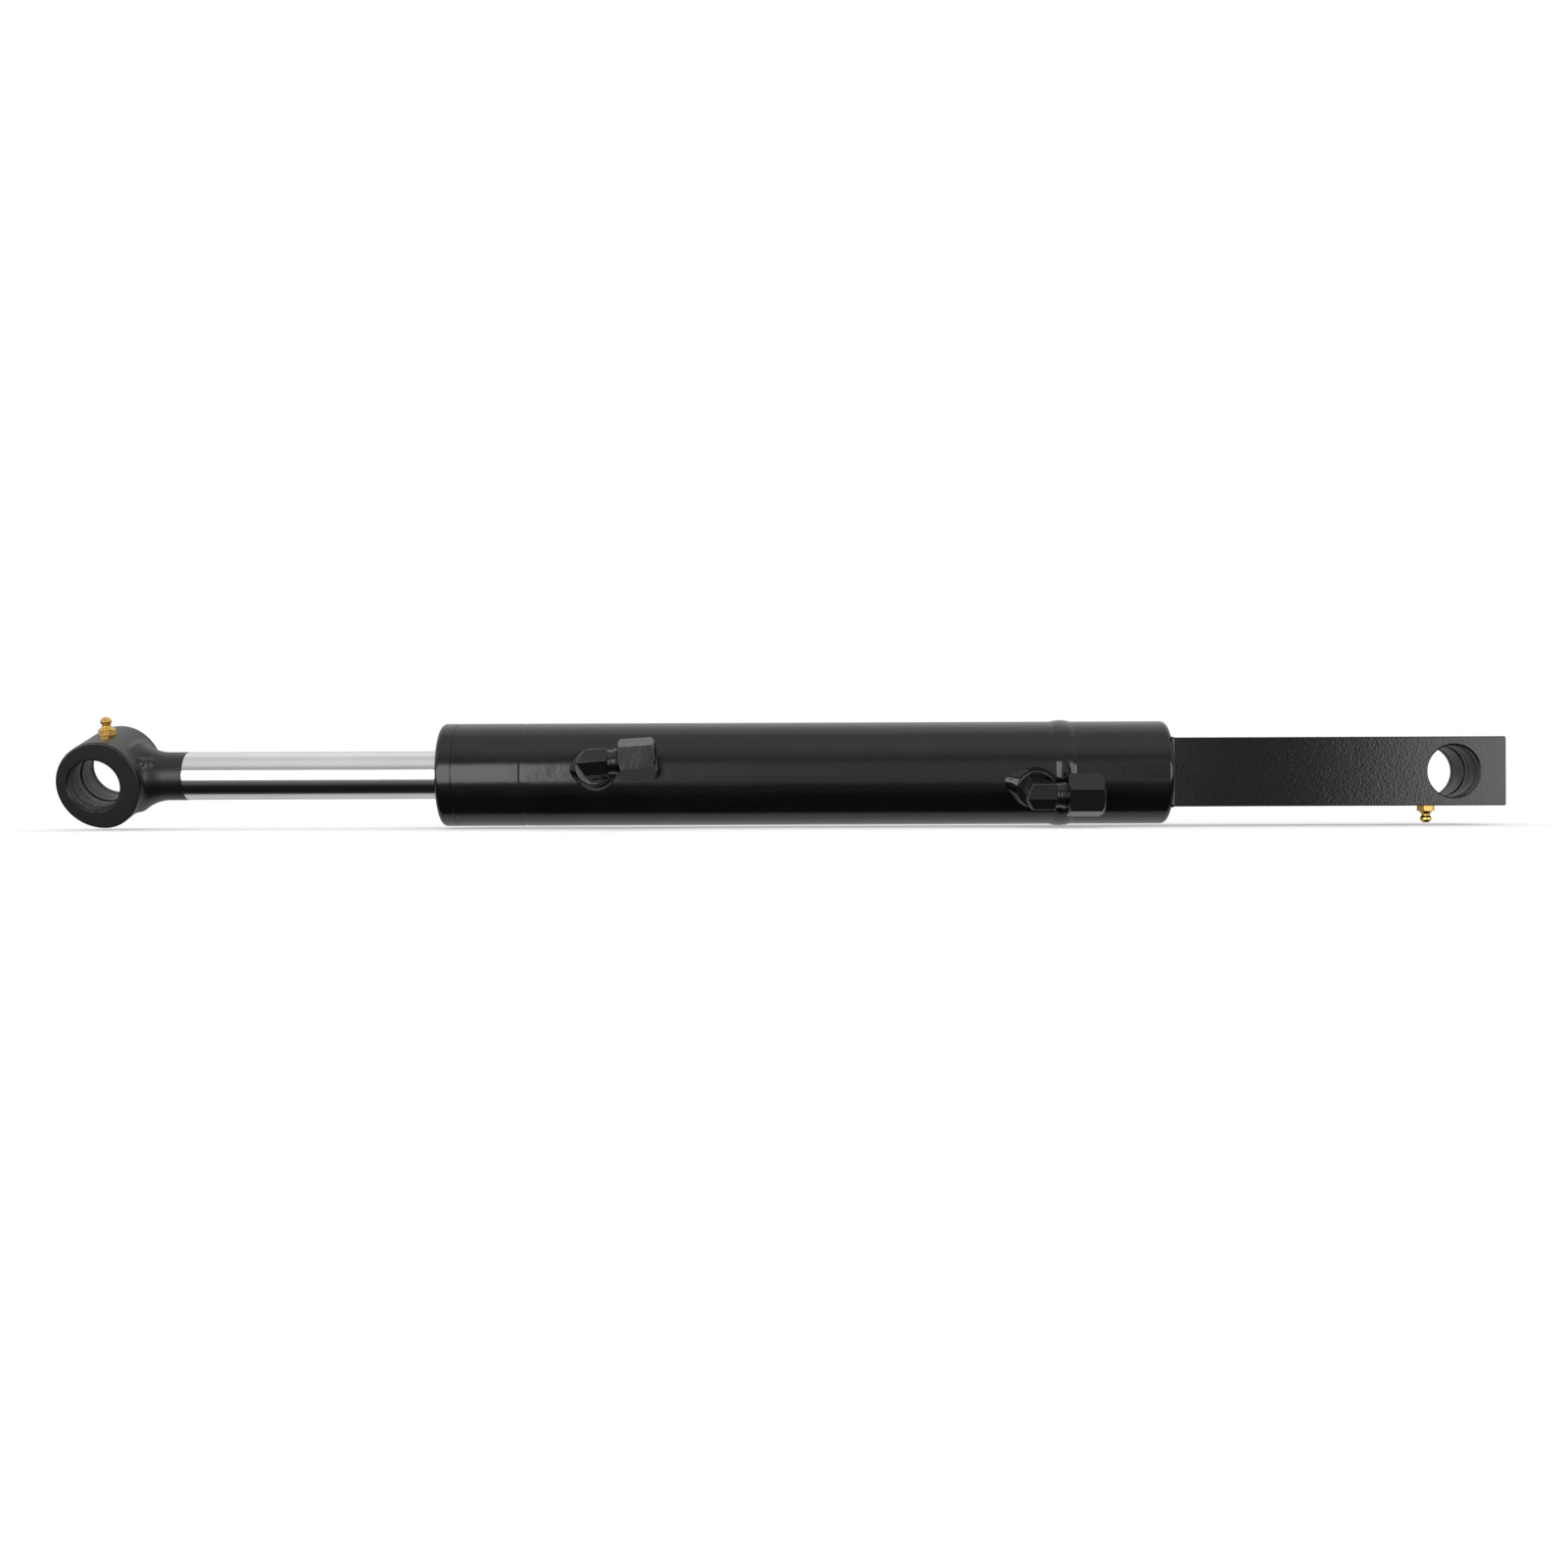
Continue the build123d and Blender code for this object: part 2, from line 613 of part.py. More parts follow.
def gland():
    """Screwed rod guide: flange, threaded length, pilot, seal grooves and spanner holes."""
    thread_r = 26.0
    thread_end = -553.0
    pilot_r = BORE_R - SLIP
    with BuildPart() as body:
        with BuildSketch(Plane.XY):
            with BuildLine():
                Polyline(
                    (FLANGE_FRONT, 17.4),
                    (FLANGE_FRONT, TUBE_R),
                    (TUBE_FRONT - SLIP - 0.5, TUBE_R),
                    (TUBE_FRONT - SLIP, TUBE_R - 0.5),
                    (TUBE_FRONT - SLIP, thread_r),
                    (thread_end, thread_r),
                    (thread_end + 1.5, pilot_r),
                    (GLAND_SEAL_SEAT[0], pilot_r),
                    (GLAND_SEAL_SEAT[0], GLAND_SEAL_R),
                    (GLAND_SEAL_SEAT[1], GLAND_SEAL_R),
                    (GLAND_SEAL_SEAT[1], pilot_r),
                    (GLAND_END - 1.5, pilot_r),
                    (GLAND_END, pilot_r - 1.5),
                    (GLAND_END, GLAND_BORE_R),
                    (ROD_RING_SEAT[1], GLAND_BORE_R),
                    (ROD_RING_SEAT[1], ROD_RING_R),
                    (ROD_RING_SEAT[0], ROD_RING_R),
                    (ROD_RING_SEAT[0], GLAND_BORE_R),
                    (BUFFER_SEAT[1], GLAND_BORE_R),
                    (BUFFER_SEAT[1], ROD_SEAT_R),
                    (BUFFER_SEAT[0], ROD_SEAT_R),
                    (BUFFER_SEAT[0], GLAND_BORE_R),
                    (ROD_SEAL_SEAT[1], GLAND_BORE_R),
                    (ROD_SEAL_SEAT[1], ROD_SEAT_R),
                    (ROD_SEAL_SEAT[0], ROD_SEAT_R),
                    (ROD_SEAL_SEAT[0], GLAND_BORE_R),
                    (WIPER_SEAT[1], GLAND_BORE_R),
                    (WIPER_SEAT[1], ROD_SEAT_R),
                    (WIPER_SEAT[0], ROD_SEAT_R),
                    (WIPER_SEAT[0], 17.4),
                    close=True,
                )
            make_face()
        revolve(axis=Axis.X)
        front_rim = body.edges().filter_by(GeomType.CIRCLE).group_by(Axis.X)[0].sort_by(SortBy.RADIUS)[-1]
        fillet(front_rim, 3.0)
        with BuildSketch(Plane.YZ.offset(FLANGE_FRONT)):
            with PolarLocations(23.2, 4, start_angle=45):
                Circle(2.6)
        extrude(amount=6.0, mode=Mode.SUBTRACT)
    save(body, "gland")


def gland_seals():
    lip_r = ROD_R + 0.04
    outer = ROD_SEAT_R - SLIP
    wiper_in = WIPER_SEAT[1] - SLIP
    wiper_out = WIPER_SEAT[0] + SLIP
    wiper = turned([
        (wiper_in, lip_r + 0.6),
        (wiper_in, outer),
        (wiper_out, outer),
        (wiper_out, 17.1),
        (FLANGE_FRONT - 0.9, 16.0),
        (FLANGE_FRONT - 1.4, lip_r),
        (FLANGE_FRONT - 0.2, lip_r),
        (wiper_out + 1.8, lip_r + 0.9),
    ])
    save(wiper, "rod_wiper")
    rod_seal = turned([
        (ROD_SEAL_SEAT[0] + SLIP, lip_r + 0.2),
        (ROD_SEAL_SEAT[0] + SLIP, outer),
        (ROD_SEAL_SEAT[1] - 1.0, outer),
        (ROD_SEAL_SEAT[1] - 0.6, outer - 1.2),
        (ROD_SEAL_SEAT[1] - 3.8, (lip_r + outer) / 2),
        (ROD_SEAL_SEAT[1] - 0.6, lip_r + 1.2),
        (ROD_SEAL_SEAT[1] - 1.0, lip_r),
        (ROD_SEAL_SEAT[1] - 3.0, lip_r + 0.2),
    ])
    save(rod_seal, "rod_seal")
    save(ring(lip_r, outer, BUFFER_SEAT[0] + SLIP, BUFFER_SEAT[1] - SLIP, 0.5), "rod_buffer_seal")
    wear_outer = ROD_RING_R - SLIP
    save(ring(lip_r, wear_outer, ROD_RING_SEAT[0] + SLIP, ROD_RING_SEAT[1] - SLIP, 0.4), "rod_wear_ring")
    cord_r = (BORE_R - GLAND_SEAL_R) / 2 - SLIP
    save(o_ring(GLAND_SEAL_SEAT[1] - 1.7, GLAND_SEAL_R + cord_r + SLIP, cord_r), "gland_o_ring")
    backup_in = GLAND_SEAL_SEAT[0] + SLIP
    save(ring(GLAND_SEAL_R + SLIP, BORE_R - SLIP, backup_in, backup_in + 1.6), "gland_backup_ring")


# ---- rod, eye and piston ---------------------------------------------------------------------
PISTON_SLIDE_R = BORE_R - 0.15
RING_SLIDE_R = BORE_R - 0.04
PISTON_SEAL_AT = (PISTON_W / 2 - 4.0, PISTON_W / 2 + 4.0)
FRONT_RING_AT = (3.0, 9.0)
BACK_RING_AT = (PISTON_W - 9.0, PISTON_W - 3.0)
SEAL_BED_R = 19.5
RING_BED_R = 22.4


def rod():
    """Chromed rod with a stud for the eye, a seat for the piston and a threaded tail."""
    with BuildPart() as shaft:
        with BuildSketch(Plane.XY):
            with BuildLine():
                Polyline(
                    (NECK_X - STUD_LEN, 0),
                    (NECK_X - STUD_LEN, STUD_R - 1),
                    (NECK_X - STUD_LEN + 1, STUD_R),
                    (NECK_X, STUD_R),
                    (NECK_X, ROD_R),
                    (PISTON_FRONT, ROD_R),
                    (PISTON_FRONT, STEM_R),
                    (PISTON_BACK, STEM_R),
                    (PISTON_BACK, TAIL_R),
                    (TAIL_END - 1, TAIL_R),
                    (TAIL_END, TAIL_R - 1),
                    (TAIL_END, 0),
                    close=True,
                )
            make_face()
        revolve(axis=Axis.X)
    save(shaft, "rod")


def neck_flare():
    """Concave flare from the neck into the cross tube, trimmed to the tube's width."""
    run = sqrt(FLARE_R**2 - (FLARE_R - FLARE_END_R + NECK_R) ** 2)
    middle = FLARE_R * sin(radians(FLARE_MID))
    middle_r = NECK_R + FLARE_R * (1 - cos(radians(FLARE_MID)))
    with BuildPart() as flare:
        with BuildSketch(Plane.XY):
            with BuildLine():
                Line((EYE_BODY_X, 0), (FLARE_X, 0))
                Line((FLARE_X, 0), (FLARE_X, NECK_R))
                ThreePointArc(
                    (FLARE_X, NECK_R),
                    (FLARE_X - middle, middle_r),
                    (FLARE_X - run, FLARE_END_R),
                )
                Line((FLARE_X - run, FLARE_END_R), (EYE_BODY_X, 0))
            make_face()
        revolve(axis=Axis.X)
        with BuildSketch(EYE_BODY.offset(-EYE_W / 2)):
            Circle(3 * EYE_R)
        extrude(amount=EYE_W, mode=Mode.INTERSECT)
    return flare


def rod_eye():
    """Cross tube flared into a round neck that takes the rod's stud."""
    top = Vector(*EYE_TOP) * (EYE_R + DRILL_START)
    with BuildPart() as eye:
        with BuildSketch(EYE_BODY.offset(-EYE_W / 2)):
            Circle(EYE_R)
        extrude(amount=EYE_W)
        add(neck_flare().part)
        with BuildSketch(Plane.YZ.offset(EYE_BODY_X)):
            Circle(NECK_R)
        extrude(amount=NECK_X - EYE_BODY_X)
        with BuildSketch(EYE_PLANE):
            Circle(BUSH_R)
        extrude(amount=EYE_W, both=True, mode=Mode.SUBTRACT)
        with BuildSketch(Plane.YZ.offset(NECK_X)):
            Circle(STUD_R + SLIP)
        extrude(amount=-(STUD_LEN + 1), mode=Mode.SUBTRACT)
        nipple_plane = Plane(origin=(EYE_NIPPLE_X, top.Y, top.Z), x_dir=(1, 0, 0), z_dir=EYE_TOP)
        with BuildSketch(nipple_plane):
            Circle(NIPPLE_THREAD_R)
        extrude(amount=-(EYE_R + DRILL_START - DRILL_END), mode=Mode.SUBTRACT)
        with BuildSketch(nipple_plane.offset(-(DRILL_START + EYE_SEAT_DEPTH))):
            Circle(EYE_SEAT_R)
        extrude(amount=EYE_SEAT_RUN, mode=Mode.SUBTRACT)
        rims = eye.edges().filter_by(GeomType.CIRCLE).filter_by(lambda e: abs(e.radius - EYE_R) < 0.01)
        chamfer(rims, EYE_CHAMFER)
    save(eye, "rod_eye")


def piston():
    """Piston with grooves for its seal and two wear rings, and a ring groove in its bore."""
    bore = STEM_R + 0.02
    x = PISTON_FRONT + SLIP
    seal = PISTON_SEAL_AT
    grooves = [(FRONT_RING_AT, RING_BED_R), (seal, SEAL_BED_R), (BACK_RING_AT, RING_BED_R)]
    with BuildPart() as body:
        with BuildSketch(Plane.YZ.offset(x)):
            Circle(PISTON_SLIDE_R)
            Circle(bore, mode=Mode.SUBTRACT)
        extrude(amount=PISTON_W - 2 * SLIP)
        outer = body.edges().filter_by(GeomType.CIRCLE).filter_by(lambda e: e.radius > BORE_R - 1)
        chamfer(outer, 0.8)
        for (start, end), bed in grooves:
            with BuildSketch(Plane.YZ.offset(PISTON_FRONT + start)):
                Circle(BORE_R)
                Circle(bed, mode=Mode.SUBTRACT)
            extrude(amount=end - start, mode=Mode.SUBTRACT)
        with BuildSketch(Plane.YZ.offset(PISTON_FRONT + 12.0)):
            Circle(STEM_R + 1.5)
        extrude(amount=2.6, mode=Mode.SUBTRACT)
    save(body, "piston")


def piston_rings():
    bed = SEAL_BED_R + SLIP
    start = PISTON_FRONT + PISTON_SEAL_AT[0] + SLIP
    end = PISTON_FRONT + PISTON_SEAL_AT[1] - SLIP
    split_r = 22.6
    save(ring(bed + 0.3, split_r, start + 0.4, end - 0.4, 0.5), "piston_seal_energizer")
    save(ring(split_r + SLIP, RING_SLIDE_R, start, end, 0.4), "piston_seal")
    for name, at in {"front": FRONT_RING_AT, "back": BACK_RING_AT}.items():
        near = PISTON_FRONT + at[0] + SLIP
        far = PISTON_FRONT + at[1] - SLIP
        save(ring(RING_BED_R + SLIP, RING_SLIDE_R, near, far, 0.3), f"piston_wear_ring_{name}")
    save(o_ring(PISTON_FRONT + 13.3, STEM_R + 0.78, 0.7), "piston_o_ring")


def lock_nut():
    """Hexagon lock nut behind the piston."""
    across = 36.0
    with BuildPart() as nut:
        with BuildSketch(Plane.YZ.offset(PISTON_BACK)):
            RegularPolygon(across / 2, 6, major_radius=False)
            Circle(TAIL_R + 0.02, mode=Mode.SUBTRACT)
        extrude(amount=LOCK_NUT_W)
        chamfer(nut.edges().filter_by(GeomType.CIRCLE).group_by(Axis.X)[-1], 0.8)
    save(nut, "piston_lock_nut")


def stop_tube():
    """Spacer that stops the piston before it covers the rod-end port."""
    near = PISTON_FRONT - STOP_LEN
    save(ring(ROD_R + SLIP, STOP_R, near, PISTON_FRONT, 1.0), "stop_tube")


barrel_tube()
base_cap()
base_weld_bead()
base_lug()
pin_bores()
grease_points()
ports()
gland()
gland_seals()
rod()
rod_eye()
piston()
piston_rings()
lock_nut()
stop_tube()
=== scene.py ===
import bmesh
import bpy
import math
import numpy as np
from mathutils import Matrix, Vector


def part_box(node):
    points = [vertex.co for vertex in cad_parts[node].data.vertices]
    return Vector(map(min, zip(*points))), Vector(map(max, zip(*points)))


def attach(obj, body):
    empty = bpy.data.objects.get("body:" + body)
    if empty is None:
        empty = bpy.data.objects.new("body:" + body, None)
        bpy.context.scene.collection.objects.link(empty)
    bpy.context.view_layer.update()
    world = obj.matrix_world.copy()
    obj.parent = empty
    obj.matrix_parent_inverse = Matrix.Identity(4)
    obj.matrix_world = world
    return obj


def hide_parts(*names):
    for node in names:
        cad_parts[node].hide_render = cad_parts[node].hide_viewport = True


# A double-acting hydraulic cylinder lying on a pale floor, rod eye to the left.
# Shapes are worked out in millimetres in the CAD frame and written to the meshes in metres.
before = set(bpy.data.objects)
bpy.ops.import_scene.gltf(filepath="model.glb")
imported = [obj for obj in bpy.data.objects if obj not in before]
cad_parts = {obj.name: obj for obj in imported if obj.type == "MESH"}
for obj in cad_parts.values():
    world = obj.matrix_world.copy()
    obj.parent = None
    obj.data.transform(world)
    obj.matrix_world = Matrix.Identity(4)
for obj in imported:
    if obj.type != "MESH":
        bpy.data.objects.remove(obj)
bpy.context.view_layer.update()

MM = 0.001
TAU = 2 * math.pi
X_AXIS = Vector((1, 0, 0))
Y_AXIS = Vector((0, 1, 0))
Z_AXIS = Vector((0, 0, 1))


def rad(degrees):
    return math.radians(degrees)


# ---- main sizes
TUBE_R = 30.0
BORE_R = 25.0
ROD_R = 14.0
PIN_R = 15.0              # both pin bores
FLANGE_FRONT = -585.0
TUBE_FRONT = -575.5
GLAND_END = -517.5
GROOVE_X = -535.6
SEAM_X = -223.5
CAP_INNER = -234.0
CAP_END = -161.5
ROD_PORT_X = -492.7
BASE_PORT_X = -241.5
LUG_END = 30.2
LUG_W = 45.0
LUG_H = 39.8
LUG_NIPPLE_X = -8.0
EYE_X = -783.1
EYE_BODY_X = -779.1       # middle of the cross tube; its bore is eccentric
EYE_NIPPLE_X = EYE_BODY_X - 0.7
EYE_SEAT_R = 5.4          # flat seat under the eye's nipple
EYE_SEAT_DEPTH = 0.35
EYE_R = 25.7
EYE_W = 41.0
EYE_TILT = 15.8
NECK_X = -734.6
NECK_R = 14.15
STUD_R = 9.98             # the rod's two ends, screwed into the neck and the lock nut
STUD_LEN = 18
STEM_R = 10.98            # under the piston
PILOT_R = 24.95           # the gland in the cylinder's bore
GLAND_BORE_R = 14.15
LIP_SEAT_R = 19.0         # bed of the rod's seals and wiper
BUSH_R = 17.0
SEAL_INSET = 3.4          # from the bushing's face to its seal groove
SEAL_ROOM = 3.8           # the seal groove's width
SEAL_BED_R = 16.3
HOLE_R = 15.72            # paint bridges the joint between bushing and bar
BOSS_R = 11.0
CORNER_OUT = 45.0         # the elbow's corner lies this far from the cylinder's axis
NUT_FLATS = 22.0
NUT_LENGTH = 20.4
NUT_START = 15.5          # the nut's back face, from the elbow's corner
NIPPLE_FLATS = 9.0
FLOOR_Z = -31.25
MIDDLE_X = -385.0         # the camera and the floor are centred here


# ---- mesh helpers
def soften(points, closed=True, steps=5):
    """Rounds the corners of an (along, radius[, rounding]) outline."""
    out = []
    count = len(points)
    for i, point in enumerate(points):
        size = point[2] if len(point) > 2 else 0.0
        if size == 0.0 or (not closed and i in (0, count - 1)):
            out.append((point[0], point[1]))
            continue
        before = Vector(points[i - 1][:2])
        corner = Vector(point[:2])
        after = Vector(points[(i + 1) % count][:2])
        arm_a = (before - corner).normalized()
        arm_b = (after - corner).normalized()
        half = math.acos(max(-1.0, min(1.0, arm_a.dot(arm_b)))) / 2
        run = min(size / math.tan(half), 0.48 * (before - corner).length, 0.48 * (after - corner).length)
        size = run * math.tan(half)
        middle = corner + (arm_a + arm_b).normalized() * (size / math.sin(half))
        ray_a = corner + arm_a * run - middle
        ray_b = corner + arm_b * run - middle
        for k in range(steps + 1):
            ray = ray_a.lerp(ray_b, k / steps).normalized() * size
            out.append((middle.x + ray.x, middle.y + ray.y))
    return out


def triad(axis, zero):
    """Right-handed directions: angle zero, a quarter turn on, and the axis."""
    w = Vector(axis).normalized()
    u = Vector(zero)
    u = (u - w * u.dot(w)).normalized()
    return u, w.cross(u), w


def turned_shell(rings, origin, axis, zero, steps, closed=True):
    """Skin over rings of (along, radius); each may be one number or one value per step."""
    u, v, w = (np.array(d) for d in triad(axis, zero))
    angle = np.arange(steps) * TAU / steps
    spoke = np.outer(np.cos(angle), u) + np.outer(np.sin(angle), v)
    verts, rows = [], []
    total = 0
    for along, radius in rings:
        along = np.broadcast_to(np.asarray(along, float), (steps,))
        radius = np.broadcast_to(np.asarray(radius, float), (steps,))
        if radius.max() < 1e-6:
            verts.append((np.array(origin) + w * along[0])[None])
            rows.append([total] * steps)
            total += 1
        else:
            verts.append(np.array(origin) + np.outer(along, w) + spoke * radius[:, None])
            rows.append(list(range(total, total + steps)))
            total += steps
    faces = []
    pairs = list(zip(rows, rows[1:])) + ([(rows[-1], rows[0])] if closed else [])
    for low, high in pairs:
        for k in range(steps):
            n = (k + 1) % steps
            face = []
            for index in (low[k], low[n], high[n], high[k]):
                if index not in face:
                    face.append(index)
            if len(face) > 2:
                faces.append(face)
    return np.concatenate(verts), faces


def lathe(points, origin=(0, 0, 0), axis=X_AXIS, zero=Z_AXIS, steps=128, closed=True, arc=5):
    return turned_shell(soften(points, closed, arc), origin, axis, zero, steps, closed)


def joined(*shells):
    """Several shells as one list of vertices and faces."""
    verts, faces = [], []
    base = 0
    for shell_verts, shell_faces in shells:
        verts.append(np.asarray(shell_verts))
        faces += [[i + base for i in f] for f in shell_faces]
        base += len(shell_verts)
    return np.concatenate(verts), faces


def new_mesh(name, shell, sharp=38.0, outward=True):
    verts, faces = shell
    mesh = bpy.data.meshes.new(name)
    mesh.from_pydata((np.asarray(verts) * MM).tolist(), [], faces)
    if outward:
        bm = bmesh.new()
        bm.from_mesh(mesh)
        bmesh.ops.recalc_face_normals(bm, faces=bm.faces)
        bm.to_mesh(mesh)
        bm.free()
    mesh.polygons.foreach_set("use_smooth", [True] * len(mesh.polygons))
    mesh.set_sharp_from_angle(angle=rad(sharp))
    return mesh


def piece(name, mesh, material, body, nodes, bevel=0.0, segments=3, weighted=True):
    """Puts a mesh in the scene as one part of the cylinder."""
    obj = bpy.data.objects.new(name, mesh)
    bpy.context.scene.collection.objects.link(obj)
    mesh.materials.append(material)
    if bevel:
        edges = obj.modifiers.new("edges", "BEVEL")
        edges.width = bevel * MM
        edges.segments = segments
        edges.limit_method = "ANGLE"
        edges.angle_limit = rad(32)
        edges.use_clamp_overlap = True
    if weighted:
        normals = obj.modifiers.new("normals", "WEIGHTED_NORMAL")
        normals.keep_sharp = True
        normals.weight = 80
    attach(obj, body)
    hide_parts(*nodes)
    return obj


# ---- materials
class Nodes:
    """Short ways to add shader nodes to one material."""

    def __init__(self, name):
        self.material = bpy.data.materials.new(name)
        self.material.use_nodes = True
        self.tree = self.material.node_tree
        self.shader = self.tree.nodes["Principled BSDF"]
        self.place = self.tree.nodes.new("ShaderNodeTexCoord").outputs["Object"]

    def link(self, source, target):
        self.tree.links.new(source, target)

    def stretched(self, scale):
        node = self.tree.nodes.new("ShaderNodeMapping")
        node.inputs["Scale"].default_value = scale
        self.link(self.place, node.inputs["Vector"])
        return node.outputs["Vector"]

    def noise(self, scale, detail=2.0, roughness=0.5, vector=None, distortion=0.0):
        node = self.tree.nodes.new("ShaderNodeTexNoise")
        node.inputs["Scale"].default_value = scale
        node.inputs["Detail"].default_value = detail
        node.inputs["Roughness"].default_value = roughness
        node.inputs["Distortion"].default_value = distortion
        self.link(vector or self.place, node.inputs["Vector"])
        return node.outputs["Fac"]

    def cells(self, scale, vector=None):
        node = self.tree.nodes.new("ShaderNodeTexVoronoi")
        node.inputs["Scale"].default_value = scale
        self.link(vector or self.place, node.inputs["Vector"])
        return node.outputs["Distance"]

    def remap(self, value, low, high, out_low, out_high):
        node = self.tree.nodes.new("ShaderNodeMapRange")
        node.inputs["From Min"].default_value = low
        node.inputs["From Max"].default_value = high
        node.inputs["To Min"].default_value = out_low
        node.inputs["To Max"].default_value = out_high
        self.link(value, node.inputs["Value"])
        return node.outputs["Result"]

    def math(self, kind, a, b):
        node = self.tree.nodes.new("ShaderNodeMath")
        node.operation = kind
        for socket, value in zip(node.inputs, (a, b)):
            if isinstance(value, (int, float)):
                socket.default_value = value
            else:
                self.link(value, socket)
        return node.outputs["Value"]

    def mix(self, factor, first, second):
        node = self.tree.nodes.new("ShaderNodeMix")
        node.data_type = "RGBA"
        self.link(factor, node.inputs["Factor"])
        for socket, value in ((node.inputs["A"], first), (node.inputs["B"], second)):
            if isinstance(value, tuple):
                socket.default_value = (*value, 1.0)
            else:
                self.link(value, socket)
        return node.outputs["Result"]

    def bump(self, height, distance, strength=1.0, below=None):
        node = self.tree.nodes.new("ShaderNodeBump")
        node.inputs["Distance"].default_value = distance * MM
        node.inputs["Strength"].default_value = strength
        self.link(height, node.inputs["Height"])
        if below is not None:
            self.link(below, node.inputs["Normal"])
        return node.outputs["Normal"]

    def edges(self, low, high):
        """0 in hollows and creases, 1 on flat and convex parts, from the mesh's pointiness: a mask for
        painted shade.
        """
        node = self.tree.nodes.new("ShaderNodeNewGeometry")
        return self.remap(node.outputs["Pointiness"], low, high, 0.0, 1.0)

    def finish(self, color, roughness, normal, metallic=0.0, specular=0.5):
        for value, socket in ((color, "Base Color"), (roughness, "Roughness"), (normal, "Normal")):
            if isinstance(value, tuple):
                self.shader.inputs[socket].default_value = (*value, 1.0)
            elif isinstance(value, float):
                self.shader.inputs[socket].default_value = value
            else:
                self.link(value, self.shader.inputs[socket])
        self.shader.inputs["Metallic"].default_value = metallic
        self.shader.inputs["Specular IOR Level"].default_value = specular
        return self.material


def gloss_paint(name, rough, peel, peel_scale, grit=0.0):
    """Black enamel: orange peel, faint smears, a few dust nibs."""
    n = Nodes(name)
    film = n.remap(n.noise(38.0, 4.0, 0.6), 0.35, 0.7, 0.0, 1.0)
    color = n.mix(film, (0.0025, 0.0025, 0.0027), (0.0045, 0.0044, 0.0046))
    smear = n.noise(16.0, 5.0, 0.65, n.stretched((0.35, 1.0, 1.0)))
    fine = n.noise(1300.0, 2.0, 0.6)
    roughness = n.math("ADD", n.remap(smear, 0.3, 0.75, rough - 0.02, rough + 0.05),
                       n.remap(fine, 0.3, 0.7, -0.03, 0.03))
    nibs = n.remap(n.cells(170.0), 0.0, 0.075, 1.0, 0.0)
    normal = n.bump(n.noise(peel_scale, 2.0, 0.45), peel)
    normal = n.bump(n.noise(90.0, 2.0, 0.5), 0.10, 1.0, normal)
    normal = n.bump(nibs, 0.03, 0.5, normal)
    if grit:
        normal = n.bump(n.noise(peel_scale * 3.1, 3.0, 0.65), grit, 1.0, normal)
    return n.finish(color, roughness, normal)


def satin_paint(name, rough, grain, scale, base=0.006):
    """Black powder coat with a grainy skin."""
    n = Nodes(name)
    film = n.remap(n.noise(30.0, 4.0, 0.6), 0.35, 0.7, 0.0, 1.0)
    color = n.mix(film, (base, base, base * 1.04), (base * 1.6, base * 1.58, base * 1.62))
    roughness = n.remap(n.noise(1400.0, 2.0, 0.6), 0.3, 0.7, rough - 0.03, rough + 0.04)
    normal = n.bump(n.noise(scale, 1.0, 0.4), grain)
    normal = n.bump(n.cells(scale * 0.8), grain * 0.5, 1.0, normal)
    normal = n.bump(n.noise(60.0, 2.0, 0.4), 0.02, 1.0, normal)
    return n.finish(color, roughness, normal)


def chrome_finish():
    """Ground and plated bar: fine rings round the rod and faint marks along it."""
    n = Nodes("chrome_rod")
    rings = n.noise(1.0, 3.0, 0.7, n.stretched((5200.0, 60.0, 60.0)))
    wipe = n.noise(1.0, 3.0, 0.6, n.stretched((9.0, 260.0, 260.0)))
    haze = n.noise(24.0, 4.0, 0.6)
    scratches = n.remap(n.cells(1.0, n.stretched((6.0, 900.0, 900.0))), 0.0, 0.05, 1.0, 0.0)
    color = n.mix(n.remap(haze, 0.3, 0.7, 0.0, 1.0), (0.76, 0.75, 0.745), (0.70, 0.69, 0.69))
    roughness = n.math("ADD", n.remap(rings, 0.3, 0.7, 0.12, 0.17), n.remap(wipe, 0.3, 0.8, -0.01, 0.04))
    normal = n.bump(rings, 0.004)
    normal = n.bump(wipe, 0.006, 1.0, normal)
    normal = n.bump(scratches, 0.004, 0.5, normal)
    return n.finish(color, roughness, normal, metallic=1.0)


def turned_metal(name, first, second, rough, cut=0.012, pitch=2600.0, axis=(1, 0, 0)):
    """Machined metal with tool marks round one axis and a thin film of oil."""
    n = Nodes(name)
    along = tuple(pitch if a else 40.0 for a in axis)
    marks = n.noise(1.0, 2.0, 0.6, n.stretched(along))
    stain = n.noise(70.0, 5.0, 0.65)
    color = n.mix(n.remap(stain, 0.35, 0.68, 0.0, 1.0), first, second)
    roughness = n.math("ADD", n.remap(marks, 0.3, 0.7, rough - 0.05, rough + 0.05),
                       n.remap(stain, 0.3, 0.7, -0.03, 0.05))
    normal = n.bump(marks, cut)
    normal = n.bump(n.noise(800.0, 3.0, 0.6), 0.008, 1.0, normal)
    return n.finish(color, roughness, normal, metallic=1.0)


def soft_polymer(name, first, second, rough, grain=0.01):
    """Moulded rubber or plastic: fine skin, slight bloom."""
    n = Nodes(name)
    bloom = n.noise(110.0, 4.0, 0.6)
    color = n.mix(n.remap(bloom, 0.3, 0.72, 0.0, 1.0), first, second)
    roughness = n.remap(n.noise(500.0, 3.0, 0.6), 0.3, 0.7, rough - 0.06, rough + 0.06)
    normal = n.bump(n.noise(1500.0, 2.0, 0.5), grain)
    return n.finish(color, roughness, n.bump(bloom, 0.02, 1.0, normal))


